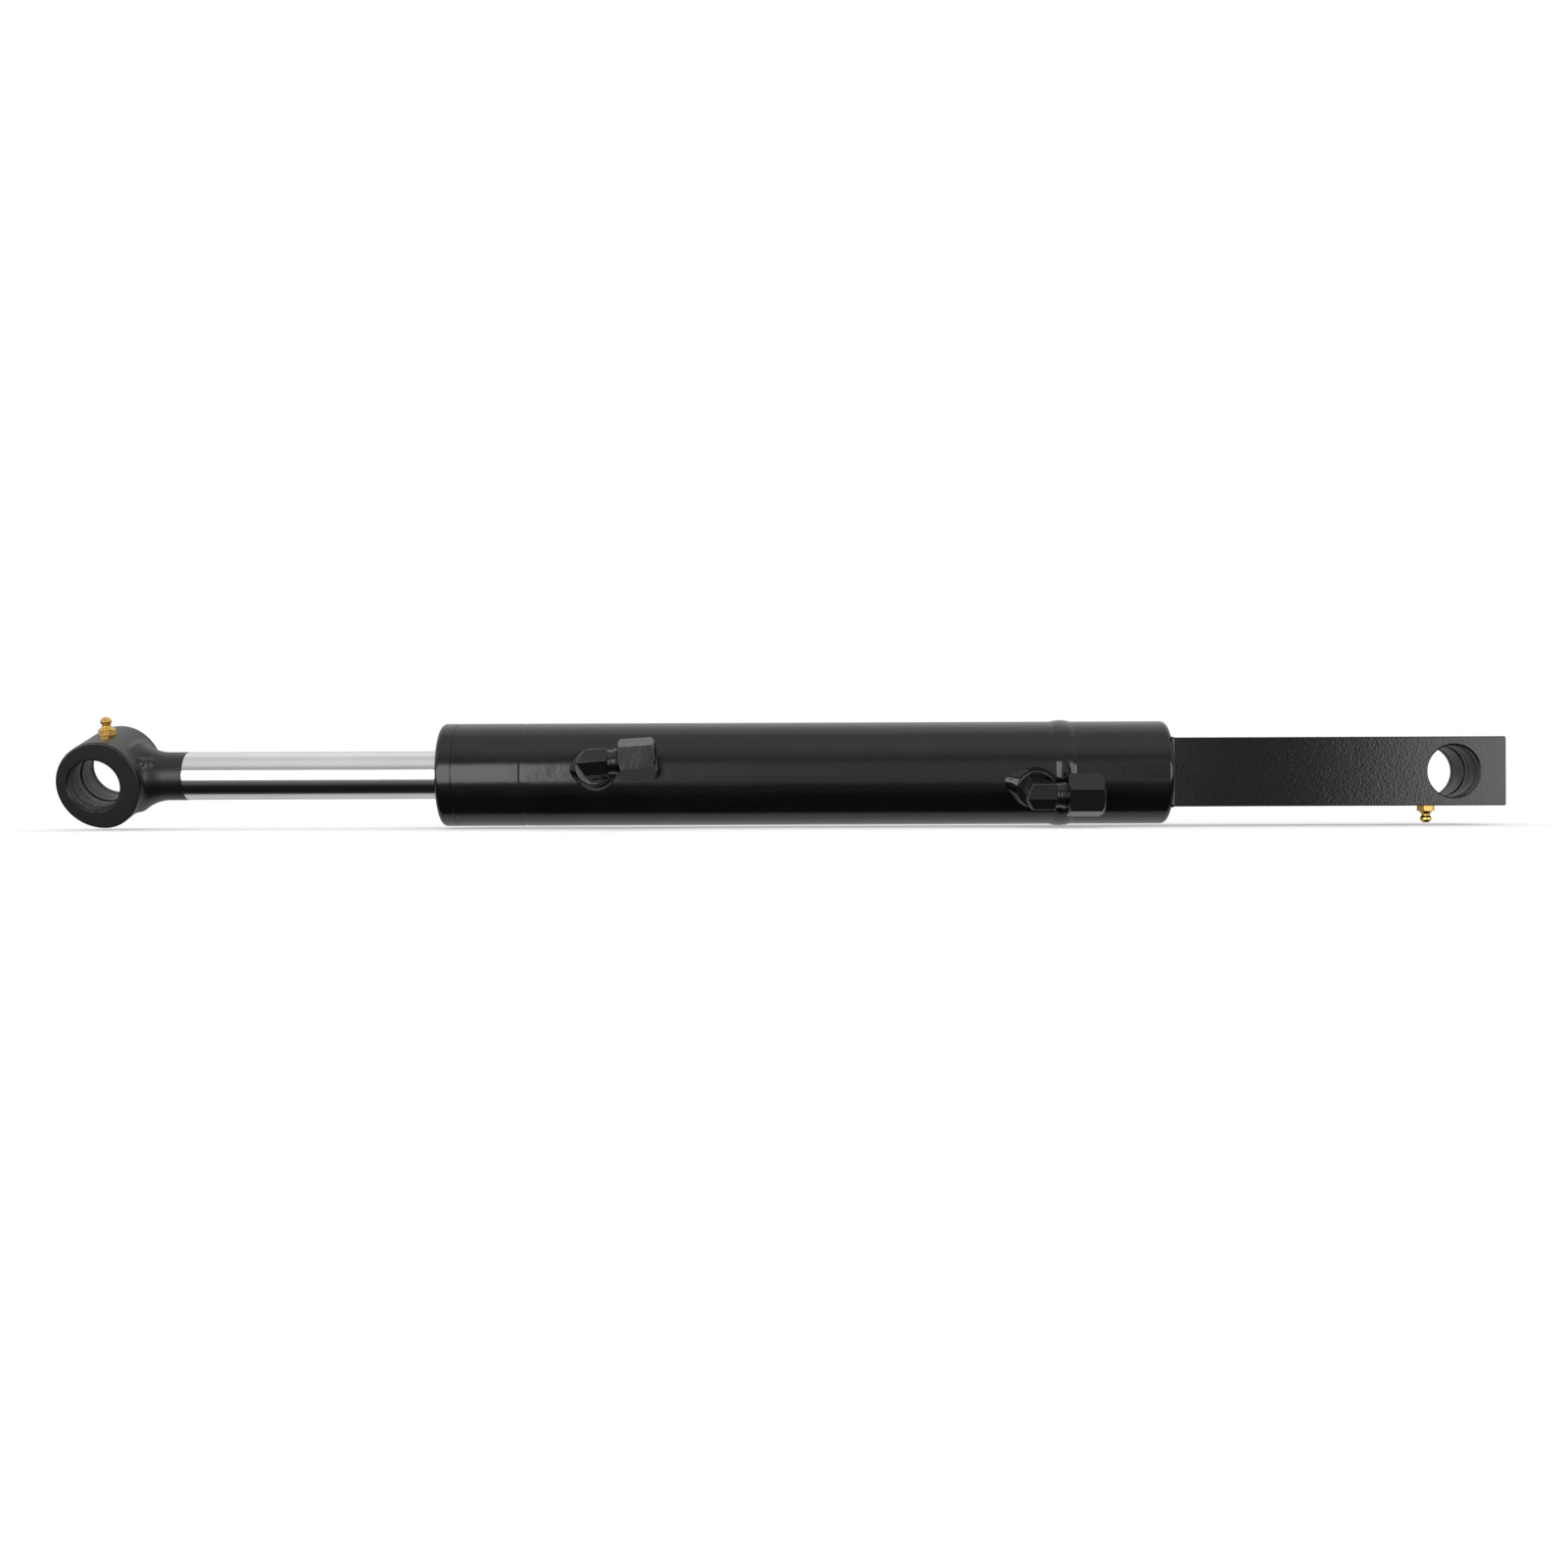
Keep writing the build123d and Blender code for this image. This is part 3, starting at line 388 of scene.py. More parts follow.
def brass_finish():
    """Bright yellow-passivated nipples, with painted shade darkening the corners and hollows."""
    n = Nodes("brass_yellow")
    stain = n.noise(420.0, 4.0, 0.6)
    color = n.mix(n.remap(stain, 0.35, 0.7, 0.0, 1.0), (0.80, 0.52, 0.15), (0.58, 0.33, 0.08))
    # Painted shade: dark brass is mixed into the hollows and creases, where pointiness is low.
    painted_hollow_shade = n.edges(0.44, 0.5)
    color = n.mix(painted_hollow_shade, (0.30, 0.17, 0.045), color)
    roughness = n.remap(n.noise(900.0, 3.0, 0.6), 0.3, 0.7, 0.16, 0.30)
    normal = n.bump(n.noise(1400.0, 2.0, 0.6), 0.02)
    return n.finish(color, roughness, normal, metallic=1.0)


BARREL_PAINT = gloss_paint("barrel_paint", 0.11, 0.020, 620.0, grit=0.006)
FITTING_PAINT = gloss_paint("fitting_paint", 0.12, 0.020, 900.0, grit=0.006)
WELD_PAINT = gloss_paint("weld_paint", 0.10, 0.025, 500.0)
EYE_PAINT = satin_paint("eye_paint", 0.34, 0.036, 900.0, base=0.004)
BAR_PAINT = satin_paint("bar_paint", 0.10, 0.026, 900.0, base=0.0035)
CHROME = chrome_finish()
BRASS = brass_finish()
STEEL = turned_metal("turned_steel", (0.46, 0.46, 0.46), (0.30, 0.30, 0.31), 0.28)
BUSHING = turned_metal(
    "bushing_steel", (0.075, 0.075, 0.078), (0.03, 0.03, 0.033), 0.40, 0.04, 1500.0, (0, 1, 0))
THREAD_STEEL = turned_metal("thread_steel", (0.30, 0.29, 0.27), (0.18, 0.17, 0.16), 0.34)
RUBBER = soft_polymer("nitrile_rubber", (0.012, 0.012, 0.012), (0.022, 0.022, 0.022), 0.46)
URETHANE = soft_polymer("seal_urethane", (0.03, 0.10, 0.22), (0.045, 0.13, 0.26), 0.38)
GUIDE = soft_polymer("guide_bronze_ptfe", (0.16, 0.085, 0.05), (0.22, 0.12, 0.07), 0.5)


# ---- barrel
BEVEL = 3.6


def barrel_tube():
    """Tube with a wider mouth for the gland, a weld bevel and a shallow groove."""
    groove = 1.0
    thread_r = 26.05
    outline = [
        (TUBE_FRONT, thread_r), (TUBE_FRONT + 25, thread_r), (TUBE_FRONT + 26, BORE_R),
        (SEAM_X, BORE_R), (SEAM_X, TUBE_R - BEVEL), (SEAM_X - BEVEL, TUBE_R),
        (GROOVE_X + groove + 0.5, TUBE_R, 0.6), (GROOVE_X + 0.3, TUBE_R - 0.13, 0.4),
        (GROOVE_X - 0.3, TUBE_R - 0.13, 0.4), (GROOVE_X - groove - 0.5, TUBE_R, 0.6),
        (TUBE_FRONT, TUBE_R, 0.35),
    ]
    return new_mesh("barrel_tube_v", lathe(outline, steps=192))


def base_cap():
    """Cap with a pilot in the bore, a weld bevel and a rounded outer edge."""
    outline = [
        (CAP_INNER, 0), (CAP_INNER, BORE_R, 1.5), (SEAM_X + 0.05, BORE_R - 0.05),
        (SEAM_X + 0.05, TUBE_R - BEVEL), (SEAM_X + BEVEL, TUBE_R), (CAP_END, TUBE_R, 3.2), (CAP_END, 0),
    ]
    return new_mesh("base_cap_v", lathe(outline, steps=192, closed=False, arc=9))


def base_weld_bead():
    """Rippled bead in the bevel between tube and cap."""
    steps = 720
    angle = np.arange(steps) * TAU / steps
    half = 5.922
    ripples = 59
    height = 0.9
    wander = 0.35 * np.sin(3 * angle + 0.7) + 0.2 * np.sin(7 * angle + 2.1)
    rings = [(SEAM_X, TUBE_R - BEVEL + 0.1)]
    across = np.linspace(-1, 1, 25)
    for t in across:
        lag = 0.085 * (1 - t * t)
        wave = np.abs(np.sin((angle - lag) * ripples)) ** 0.8
        ripple = 0.012 * (1 - t**2) * wave * (1.2 + np.sin(5 * angle + 1.1))
        lump = 0.05 * np.sin(11 * angle + 3 * t) * (1 - t * t)
        crown = height * (1 - t * t) ** 0.85 + ripple + lump
        edge = wander * (0.6 + 0.4 * abs(t)) + 0.12 * np.sin(31 * angle + 1.3) * abs(t)
        rings.append((SEAM_X + half * t + edge * 0.6, TUBE_R - 0.05 + crown))
    return new_mesh("base_weld_bead_v", turned_shell(rings, (0, 0, 0), X_AXIS, Z_AXIS, steps), 60)


def base_lug():
    """Bar with rounded edges and a bore; the outline round the bore is cut into quads."""
    half_h = LUG_H / 2
    near = -24.0
    steps = 96
    corners = ((LUG_END, half_h), (near, half_h), (near, -half_h), (LUG_END, -half_h))
    corner_angles = [math.atan2(z, x) for x, z in corners]
    angles = [k * TAU / steps for k in range(steps)]
    for corner in corner_angles:
        corner %= TAU
        k = min(range(len(angles)), key=lambda i: abs(angles[i] - corner))
        angles[k] = corner
    bm = bmesh.new()

    def vert(x, y, z):
        return bm.verts.new((x * MM, y * MM, z * MM))

    sides = []
    for y in (-LUG_W / 2, LUG_W / 2):
        hole, frame_loop = [], []
        for a in angles:
            dx, dz = math.cos(a), math.sin(a)
            reach = min((LUG_END if dx > 0 else -near) / max(abs(dx), 1e-9), half_h / max(abs(dz), 1e-9))
            hole.append(vert(HOLE_R * dx, y, HOLE_R * dz))
            frame_loop.append(vert(reach * dx, y, reach * dz))
        sides.append((hole, frame_loop))
    ends = [[vert(CAP_END, y, half_h), vert(CAP_END, y, -half_h)] for y in (-LUG_W / 2, LUG_W / 2)]
    count = len(angles)
    low_k = angles.index(corner_angles[1] % TAU)
    high_k = angles.index(corner_angles[2] % TAU)
    for hole, loop in sides:
        for k in range(count):
            n = (k + 1) % count
            bm.faces.new((hole[k], hole[n], loop[n], loop[k]))
    for (hole, loop), end in zip(sides, ends):
        bm.faces.new([end[0]] + [loop[k] for k in range(low_k, high_k + 1)] + [end[1]])
    (hole_a, loop_a), (hole_b, loop_b) = sides
    for k in range(count):
        n = (k + 1) % count
        bm.faces.new((hole_a[k], hole_a[n], hole_b[n], hole_b[k]))
        if not low_k <= k < high_k:
            bm.faces.new((loop_a[k], loop_a[n], loop_b[n], loop_b[k]))
    bm.faces.new((ends[0][0], loop_a[low_k], loop_b[low_k], ends[1][0]))
    bm.faces.new((ends[0][1], loop_a[high_k], loop_b[high_k], ends[1][1]))
    bm.faces.new((ends[0][0], ends[0][1], ends[1][1], ends[1][0]))
    bmesh.ops.recalc_face_normals(bm, faces=bm.faces)
    layer = bm.edges.layers.float.new("bevel_weight_edge")
    for e in bm.edges:
        if len(e.link_faces) == 2 and e.calc_face_angle(0) > rad(60):
            middle = (e.verts[0].co + e.verts[1].co) / 2
            on_bore = (middle.x**2 + middle.z**2) ** 0.5 < 18 * MM
            along = abs((e.verts[0].co - e.verts[1].co).normalized().x) > 0.9
            e[layer] = 0.25 if on_bore else (0.55 if along and abs(middle.y) > 22 * MM else 1.0)
    mesh = bpy.data.meshes.new("base_lug_v")
    bm.to_mesh(mesh)
    bm.free()
    mesh.polygons.foreach_set("use_smooth", [True] * len(mesh.polygons))
    return mesh


def lug_weld():
    """Fine weld where the bar meets the cap: a small bead round a rounded rectangle."""
    half_w, half_h, corner = LUG_W / 2, LUG_H / 2, 0.8
    spacing = 0.6
    path = []
    for sy, sz, start in ((1, 1, 0), (-1, 1, 90), (-1, -1, 180), (1, -1, 270)):
        for k in range(5):
            a = rad(start + 22.5 * k)
            path.append(((sy * (half_w - corner), sz * (half_h - corner)), (math.cos(a), math.sin(a))))
    count = len(path)
    fine = []
    for k in range(count):
        (p, n), (q, m) = path[k], path[(k + 1) % count]
        here = (p[0] + corner * n[0], p[1] + corner * n[1])
        there = (q[0] + corner * m[0], q[1] + corner * m[1])
        parts = max(1, int(math.dist(here, there) / spacing))
        for i in range(parts):
            t = i / parts
            first = (p[0], p[1], n[0], n[1])
            last = (q[0], q[1], m[0], m[1])
            fine.append(tuple(u * (1 - t) + v * t for u, v in zip(first, last)))
    verts, faces = [], []
    sections = 12
    for j, (py, pz, ny, nz) in enumerate(fine):
        size = 0.85 + 0.07 * math.sin(j * 0.9) + 0.06 * math.sin(j * 0.37 + 1)
        for i in range(sections):
            a = i * TAU / sections
            reach = corner + size * math.cos(a) * 0.75 - 0.1
            verts.append((CAP_END + 0.05 + size * math.sin(a), py + ny * reach, pz + nz * reach))
    total = len(fine)
    for j in range(total):
        for i in range(sections):
            a, b = j * sections, ((j + 1) % total) * sections
            n = (i + 1) % sections
            faces.append([a + i, a + n, b + n, b + i])
    return new_mesh("base_lug_weld_v", (np.array(verts), faces), 80)


# ---- pin bores
EYE_AXIS = Vector((0, math.cos(rad(EYE_TILT)), math.sin(rad(EYE_TILT))))
EYE_TOP = Vector((0, -math.sin(rad(EYE_TILT)), math.cos(rad(EYE_TILT))))
BORES = {
    "lug": (Vector((0, 0, 0)), Y_AXIS, Z_AXIS, LUG_W, "barrel"),
    "eye": (Vector((EYE_X, 0, 0)), EYE_AXIS, EYE_TOP, EYE_W, "rod"),
}


def bushing(name, origin, axis, zero, width, side):
    """Grooved bushing: oil groove near the middle, seal groove near the mouth."""
    face = width / 2 * side
    inner = 2.0 * side
    groove_far = (width / 2 - SEAL_INSET - SEAL_ROOM) * side
    groove_near = (width / 2 - SEAL_INSET) * side
    oil = inner + 4.2 * side
    outline = [
        (face - 0.03 * side, BUSH_R - 0.03), (inner, BUSH_R - 0.03), (inner, PIN_R, 0.3),
        (oil - 0.5 * side, PIN_R, 0.2), (oil, PIN_R + 0.14, 0.4), (oil + 0.5 * side, PIN_R, 0.2),
        (groove_far, PIN_R, 0.15), (groove_far, SEAL_BED_R, 0.3), (groove_near, SEAL_BED_R, 0.3),
        (groove_near, PIN_R, 0.15), (face - 0.75 * side, PIN_R, 0.15),
        (face - 0.03 * side, PIN_R + 0.72, 0.15),
    ]
    return new_mesh(name, lathe(outline, origin, axis, zero, 128, arc=3))


def pin_seal(name, origin, axis, zero, width, side):
    """Lip seal with a notch behind the lip."""
    near = (width / 2 - SEAL_INSET - 0.05) * side
    far = (width / 2 - SEAL_INSET - SEAL_ROOM + 0.05) * side
    outer = SEAL_BED_R - 0.08
    outline = [
        (far, outer, 0.3), (near, outer, 0.25), (near, 15.9, 0.1), (near - 1.0 * side, 15.72, 0.1),
        (near - 0.2 * side, 15.42, 0.1), (near - 0.5 * side, 15.13, 0.15), (far, 15.25, 0.3),
    ]
    return new_mesh(name, lathe(outline, origin, axis, zero, 128, arc=3))


# ---- rod eye: a smooth blend of tube and neck
FLARE_X = -745.0            # the neck starts to flare into the cross tube
FLARE_R = 25.0
FLARE_END = 18.2            # and the flare stops this far on
FLARE_END_R = 20.9
EYE_FLAT = 1.15             # the eye's outline is drawn in on the neck's side
SPATTER = (                 # drops of weld metal by the neck: centre and radius
    ((-757.4, -14.6, 7.6), 2.4), ((-753.2, -12.0, 7.4), 2.2), ((-760.5, -17.6, 4.6), 2.0),
)


def smooth_max(a, b, k):
    h = np.clip(0.5 + 0.5 * (a - b) / k, 0, 1)
    return b * (1 - h) + a * h + k * h * (1 - h)


def smooth_min(a, b, k):
    return -smooth_max(-a, -b, k)


def eye_distance(p):
    """Distance field of the rod eye in millimetres: negative inside."""
    x, y, z = p[:, 0], p[:, 1], p[:, 2]
    across = y * EYE_AXIS.y + z * EYE_AXIS.z
    up = y * EYE_TOP.y + z * EYE_TOP.z
    back = x - EYE_BODY_X
    outer = np.hypot(np.where(back > 0, back * EYE_FLAT, back), up) - EYE_R
    inside = HOLE_R - np.hypot(x - EYE_X, up)
    ends = np.abs(across) - EYE_W / 2
    around = np.hypot(y, z)
    run = np.clip(FLARE_X - x, 0, FLARE_END + 3)
    rise = np.sqrt(FLARE_R**2 - run**2)
    flare = (around - (NECK_R + FLARE_R - rise)) * rise / FLARE_R
    close = (around - FLARE_END_R) * 0.55 + (FLARE_X - FLARE_END - x) * 0.83
    neck = smooth_max(flare, close, 2.5)
    neck = smooth_max(neck, x - NECK_X, 0.25)
    solid = smooth_min(outer, neck, 3.5)
    for spot, size in SPATTER:
        solid = smooth_min(solid, np.linalg.norm(p - np.array(spot), axis=1) - size, 2.4)
    solid = smooth_max(solid, ends, 1.1)
    solid = smooth_max(solid, inside, 0.35)
    seat = np.hypot(x - EYE_NIPPLE_X, across) - EYE_SEAT_R
    return smooth_max(solid, -smooth_max(seat, EYE_R - EYE_SEAT_DEPTH - up, 0.2), 0.2)


def eye_slope(p):
    step = 0.02
    return np.stack([
        (eye_distance(p + step * e) - eye_distance(p - step * e)) / (2 * step) for e in np.eye(3)
    ], axis=1)


def rod_eye():
    """Tube and neck as one skin of small cells, drawn onto the distance field."""
    steps = 128
    angle = np.arange(steps) * TAU / steps
    shift = EYE_X - EYE_BODY_X
    toward = triad(EYE_AXIS, EYE_TOP)[1].x * np.sin(angle)
    hole = shift * toward + np.sqrt(HOLE_R**2 - shift**2 * (1 - toward**2))
    half = EYE_W / 2
    rim = EYE_R / np.hypot(np.cos(angle), np.where(toward > 0, EYE_FLAT * toward, toward))
    ring = turned_shell([(-half, hole), (half, hole), (half, rim), (-half, rim)],
                        (EYE_BODY_X, 0, 0), EYE_AXIS, EYE_TOP, steps)
    neck = lathe([
        (EYE_BODY_X + 18, 0), (EYE_BODY_X + 18, 19.5), (-758.0, 17.9), (-752.0, 15.2), (FLARE_X, NECK_R),
        (NECK_X, NECK_R), (NECK_X, 0)], closed=False, steps=96)
    rough = new_mesh("rod_eye_rough", joined(ring, neck))
    holder = bpy.data.objects.new("rod_eye_rough", rough)
    bpy.context.scene.collection.objects.link(holder)
    voxels = holder.modifiers.new("voxels", "REMESH")
    voxels.mode = "VOXEL"
    voxels.voxel_size = 0.5 * MM
    graph = bpy.context.evaluated_depsgraph_get()
    mesh = bpy.data.meshes.new_from_object(holder.evaluated_get(graph))
    mesh.name = "rod_eye_v"
    bpy.data.objects.remove(holder)
    points = np.empty(len(mesh.vertices) * 3)
    mesh.vertices.foreach_get("co", points)
    points = points.reshape(-1, 3) / MM
    for _ in range(14):
        slope = eye_slope(points)
        size = np.maximum((slope**2).sum(1), 0.2)
        points = points - slope * (eye_distance(points) / size * 0.85)[:, None]
    mesh.vertices.foreach_set("co", (points * MM).ravel())
    mesh.polygons.foreach_set("use_smooth", [True] * len(mesh.polygons))
    normals = eye_slope(points)
    normals /= np.maximum(np.linalg.norm(normals, axis=1), 1e-6)[:, None]
    mesh.normals_split_custom_set_from_vertices(normals.tolist())
    return mesh


# ---- rod and the pieces on it
def rod():
    """Rod with a stud at the eye, a stem under the piston and a stud for the lock nut."""
    skin = ROD_R - 0.01
    tail_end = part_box("rod")[1].x / MM
    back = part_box("piston_lock_nut")[0].x / MM
    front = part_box("piston")[0].x / MM
    outline = [
        (NECK_X - STUD_LEN, 0), (NECK_X - STUD_LEN, STUD_R, 1.0), (NECK_X, STUD_R), (NECK_X, skin, 0.25),
        (front - 1.2, skin, 0.4), (front - 0.2, 12.4, 0.3), (front - 0.2, STEM_R), (back, STEM_R, 0.3),
        (back, STUD_R), (tail_end, STUD_R, 1.0), (tail_end, 0),
    ]
    return new_mesh("rod_v", lathe(outline, steps=160, closed=False, arc=4))


# ---- gland and wiper
def gland():
    """Flange, threaded length, pilot and seal seats, with four spanner holes cut in the flange."""
    lip = TUBE_FRONT - 0.04
    outline = [
        (FLANGE_FRONT, 17.4, 0.3), (FLANGE_FRONT, TUBE_R, 3.0), (lip, TUBE_R, 0.35), (lip, 26.0),
        (-553.0, 26.0), (-551.5, PILOT_R), (-541.0, PILOT_R), (-541.0, 22.2), (-534.5, 22.2),
        (-534.5, PILOT_R), (GLAND_END, PILOT_R, 1.2), (GLAND_END, GLAND_BORE_R),
    ]
    seats = ((-529.0, -546.0, 16.5), (-552.0, -557.0, LIP_SEAT_R), (-562.5, -571.5, LIP_SEAT_R))
    for back, front, bed_r in seats:
        outline += [(back, GLAND_BORE_R), (back, bed_r), (front, bed_r), (front, GLAND_BORE_R)]
    outline += [(-577.5, GLAND_BORE_R), (-577.5, LIP_SEAT_R), (-584.0, LIP_SEAT_R), (-584.0, 17.4, 0.2)]
    body = bpy.data.objects.new("gland_rough", new_mesh("gland_rough", lathe(outline, steps=192, arc=8)))
    drills = []
    circle_r, hole_r = 23.2, 2.6
    for k in range(4):
        a = rad(45 + 90 * k)
        centre = (0, circle_r * math.sin(a), circle_r * math.cos(a))
        drills.append(lathe([
            (FLANGE_FRONT - 1, 0), (FLANGE_FRONT - 1, 3.6), (FLANGE_FRONT + 0.01, 2.9),
            (FLANGE_FRONT + 0.35, hole_r), (FLANGE_FRONT + 4.9, hole_r), (FLANGE_FRONT + 6.0, 0)],
            centre, closed=False, steps=48))
    cutter = bpy.data.objects.new("gland_drill", new_mesh("gland_drill", joined(*drills)))
    for obj in (body, cutter):
        bpy.context.scene.collection.objects.link(obj)
    cut = body.modifiers.new("holes", "BOOLEAN")
    cut.operation = "DIFFERENCE"
    cut.solver = "EXACT"
    cut.object = cutter
    graph = bpy.context.evaluated_depsgraph_get()
    mesh = bpy.data.meshes.new_from_object(body.evaluated_get(graph))
    mesh.name = "gland_v"
    for obj in (body, cutter):
        bpy.data.objects.remove(obj)
    mesh.polygons.foreach_set("use_smooth", [True] * len(mesh.polygons))
    mesh.set_sharp_from_angle(angle=rad(38))
    return mesh


def wiper():
    """Wiper: a ring seated in the gland, tapering outside it to one lip on the rod."""
    outline = [
        (-577.55, 14.64, 0.2), (-577.55, 18.95, 0.2), (-583.95, 18.95, 0.2), (-583.95, 17.1, 0.2),
        (-585.9, 16.0, 0.3), (-586.35, 14.04, 0.12), (-585.2, 14.04, 0.3), (-582.15, 14.94, 0.3),
    ]
    return new_mesh("rod_wiper_v", lathe(outline, steps=128, arc=4))


# ---- ports
class Port:
    """Directions and centre of one port."""

    def __init__(self, x, lift, clock):
        self.x = x
        self.out = Vector((0, -math.cos(rad(lift)), math.sin(rad(lift))))
        self.up = Vector((0, math.sin(rad(lift)), math.cos(rad(lift))))
        self.outlet = X_AXIS * math.cos(rad(clock)) + self.up * math.sin(rad(clock))
        self.side = self.out.cross(self.outlet)
        self.origin = Vector((x, 0, 0))
        self.corner = self.origin + self.out * CORNER_OUT


PORTS = {"rod_port": Port(ROD_PORT_X, 7.5, 4.0), "base_port": Port(BASE_PORT_X, -16.5, 0.0)}
# where each port's weld ran wide or narrow: angle from +X round the port's axis, width, reach
WELD_TAILS = {
    "rod_port": [(186, 24, 1.8), (80, 40, -0.8)],
    "base_port": [(166, 22, 5.4), (85, 45, -2.0)],
}


def on_tube(port, angle, radius, skin=TUBE_R):
    """Height above the cylinder's axis of the tube's skin at a polar place round the port."""
    u, v, _ = triad(port.out, X_AXIS)
    sideways = radius * (np.cos(angle) * u.dot(port.up) + np.sin(angle) * v.dot(port.up))
    return np.sqrt(skin**2 - sideways**2)


def port_boss(name, port):
    """Boss saddled on the tube, its spigot ending at the bore, with a counterbored hole."""
    steps = 96
    angle = np.arange(steps) * TAU / steps
    foot = on_tube(port, angle, BOSS_R) - 0.4
    inner, outer = (on_tube(port, angle, radius, BORE_R + 0.08) for radius in (5.0, 8.5))
    rings = [(inner, 5.0), (outer, 8.5), (foot, 8.5), (foot, BOSS_R)]
    top = soften([
        (32, BOSS_R), (34.5, BOSS_R, 0.8), (34.5, 7.75, 0.2), (33.0, 7.75), (33.0, 6.2), (26.5, 6.2),
        (26.5, 5.0),
    ], False)
    return new_mesh(name, turned_shell(rings + top, port.origin, port.out, X_AXIS, steps))


def port_weld(name, port, seed, spread):
    """Fillet weld round the boss: overlapping scales with a wandering toe."""
    steps = 420
    angle = np.arange(steps) * TAU / steps
    source = np.random.default_rng(seed)
    sway = sum(source.uniform(0.4, 1.0) * np.sin(k * angle + source.uniform(0, TAU)) / k for k in range(2, 9))
    rows, scales = 17, 14
    root, toe, height = BOSS_R - 0.3, 13.3, 3.3
    rings = []
    outside = toe + 0.25 * sway
    for middle, width, reach in spread:
        turn = (angle - rad(middle) + math.pi) % TAU - math.pi
        outside = outside + reach * np.exp(-((turn / rad(width)) ** 2))
    for t in np.linspace(0, 1, rows):
        radius = outside * (1 - t) + root * t
        belly = math.sin(math.pi * t)
        scale = np.abs(np.sin((angle + 0.16 * belly) * scales + 0.5 * sway)) ** 0.8
        bulge = height * t**1.5 + 0.55 * belly + 0.13 * scale * belly
        bulge = bulge + 0.24 * sway * belly
        rings.append((on_tube(port, angle, np.minimum(radius, 29.0)) - 0.25 + bulge, radius))
    rings.append((on_tube(port, angle, root) - 0.6, np.full(steps, root)))
    rings.append((on_tube(port, angle, outside) - 0.8, outside - 0.5))
    return new_mesh(name, turned_shell(rings, port.origin, port.out, X_AXIS, steps), 70)


def hex_radius(flats, angle):
    """Radius of a hexagon at an angle, with a corner at angle zero."""
    return flats / 2 / np.cos(angle % (math.pi / 3) - math.pi / 6)


def port_elbow(name, port):
    """Mitred hexagonal elbow with a stud, a collar and a nose."""
    c, out, outlet, side = port.corner, port.out, port.outlet, port.side
    flats, arm, leg = 15.2, 9.1, 10.5
    nose_r, stud_r, passage_r = 7.1, 6.15, 4.0
    corner_r = flats / math.sqrt(3)
    places = [(math.cos(k * TAU / 6) * corner_r, math.sin(k * TAU / 6) * corner_r) for k in range(6)]
    verts, faces = [], []
    for a, b in places:
        verts.append(c + out * a + side * b + outlet * arm)
    for a, b in places:
        verts.append(c + out * a + side * b - outlet * a)
    for a, b in places:
        verts.append(c - outlet * a + side * b - out * leg)
    for k in range(6):
        n = (k + 1) % 6
        faces.append([k, n, 6 + n, 6 + k])
        faces.append([6 + k, 6 + n, 12 + n, 12 + k])
    faces.append([0, 1, 2, 3, 4, 5])
    faces.append([17, 16, 15, 14, 13, 12])
    body = (np.array([tuple(v) for v in verts]), faces)
    mesh = new_mesh(name, body)
    holder = bpy.data.objects.new(name, mesh)
    bpy.context.scene.collection.objects.link(holder)
    cage = bmesh.new()
    cage.from_mesh(mesh)
    layer = cage.edges.layers.float.new("bevel_weight_edge")
    for edge in cage.edges:
        ends = [v.co / MM - c for v in edge.verts]
        mitre = all(abs(v.dot(out) + v.dot(outlet)) < 0.01 for v in ends)
        throat = any(v.dot(outlet) > 5 and v.dot(out) < -5 for v in ends)
        edge[layer] = 0.0 if throat else (1.0 if mitre and min(v.dot(out) for v in ends) > -1 else 0.4)
    cage.to_mesh(mesh)
    cage.free()
    rounding = holder.modifiers.new("edges", "BEVEL")
    rounding.width = 1.6 * MM
    rounding.segments = 5
    rounding.limit_method = "WEIGHT"
    rounding.use_clamp_overlap = False
    graph = bpy.context.evaluated_depsgraph_get()
    soft = bpy.data.meshes.new_from_object(holder.evaluated_get(graph))
    bpy.data.objects.remove(holder)
    soft_verts = np.array([v.co[:] for v in soft.vertices]) / MM
    soft_faces = [list(p.vertices) for p in soft.polygons]
    bpy.data.meshes.remove(soft)
    nose = lathe([
        (2.0, 0), (2.0, nose_r), (9.6, nose_r, 0.2), (10.2, 6.9, 0.1), (11.6, 6.9, 0.1),
        (12.0, nose_r, 0.1), (13.2, nose_r, 0.15), (13.2, 7.6, 0.2), (14.6, 7.6, 0.2), (14.6, nose_r, 0.15),
        (17.1, nose_r), (17.1, 6.5), (18.4, 6.5), (18.4, nose_r), (20.0, nose_r, 0.1), (23.9, 6.27, 0.3),
        (23.9, passage_r, 0.2), (4.0, passage_r), (4.0, 0)],
        c, outlet, out, 96, closed=False, arc=3)
    stud = lathe([
        (-2.0, 0), (-2.0, stud_r), (17.7, stud_r, 0.5), (17.7, passage_r, 0.2), (6.0, passage_r), (6.0, 0)],
        c, -out, outlet, 64, closed=False, arc=3)
    return new_mesh(name, joined((soft_verts, soft_faces), nose, stud))


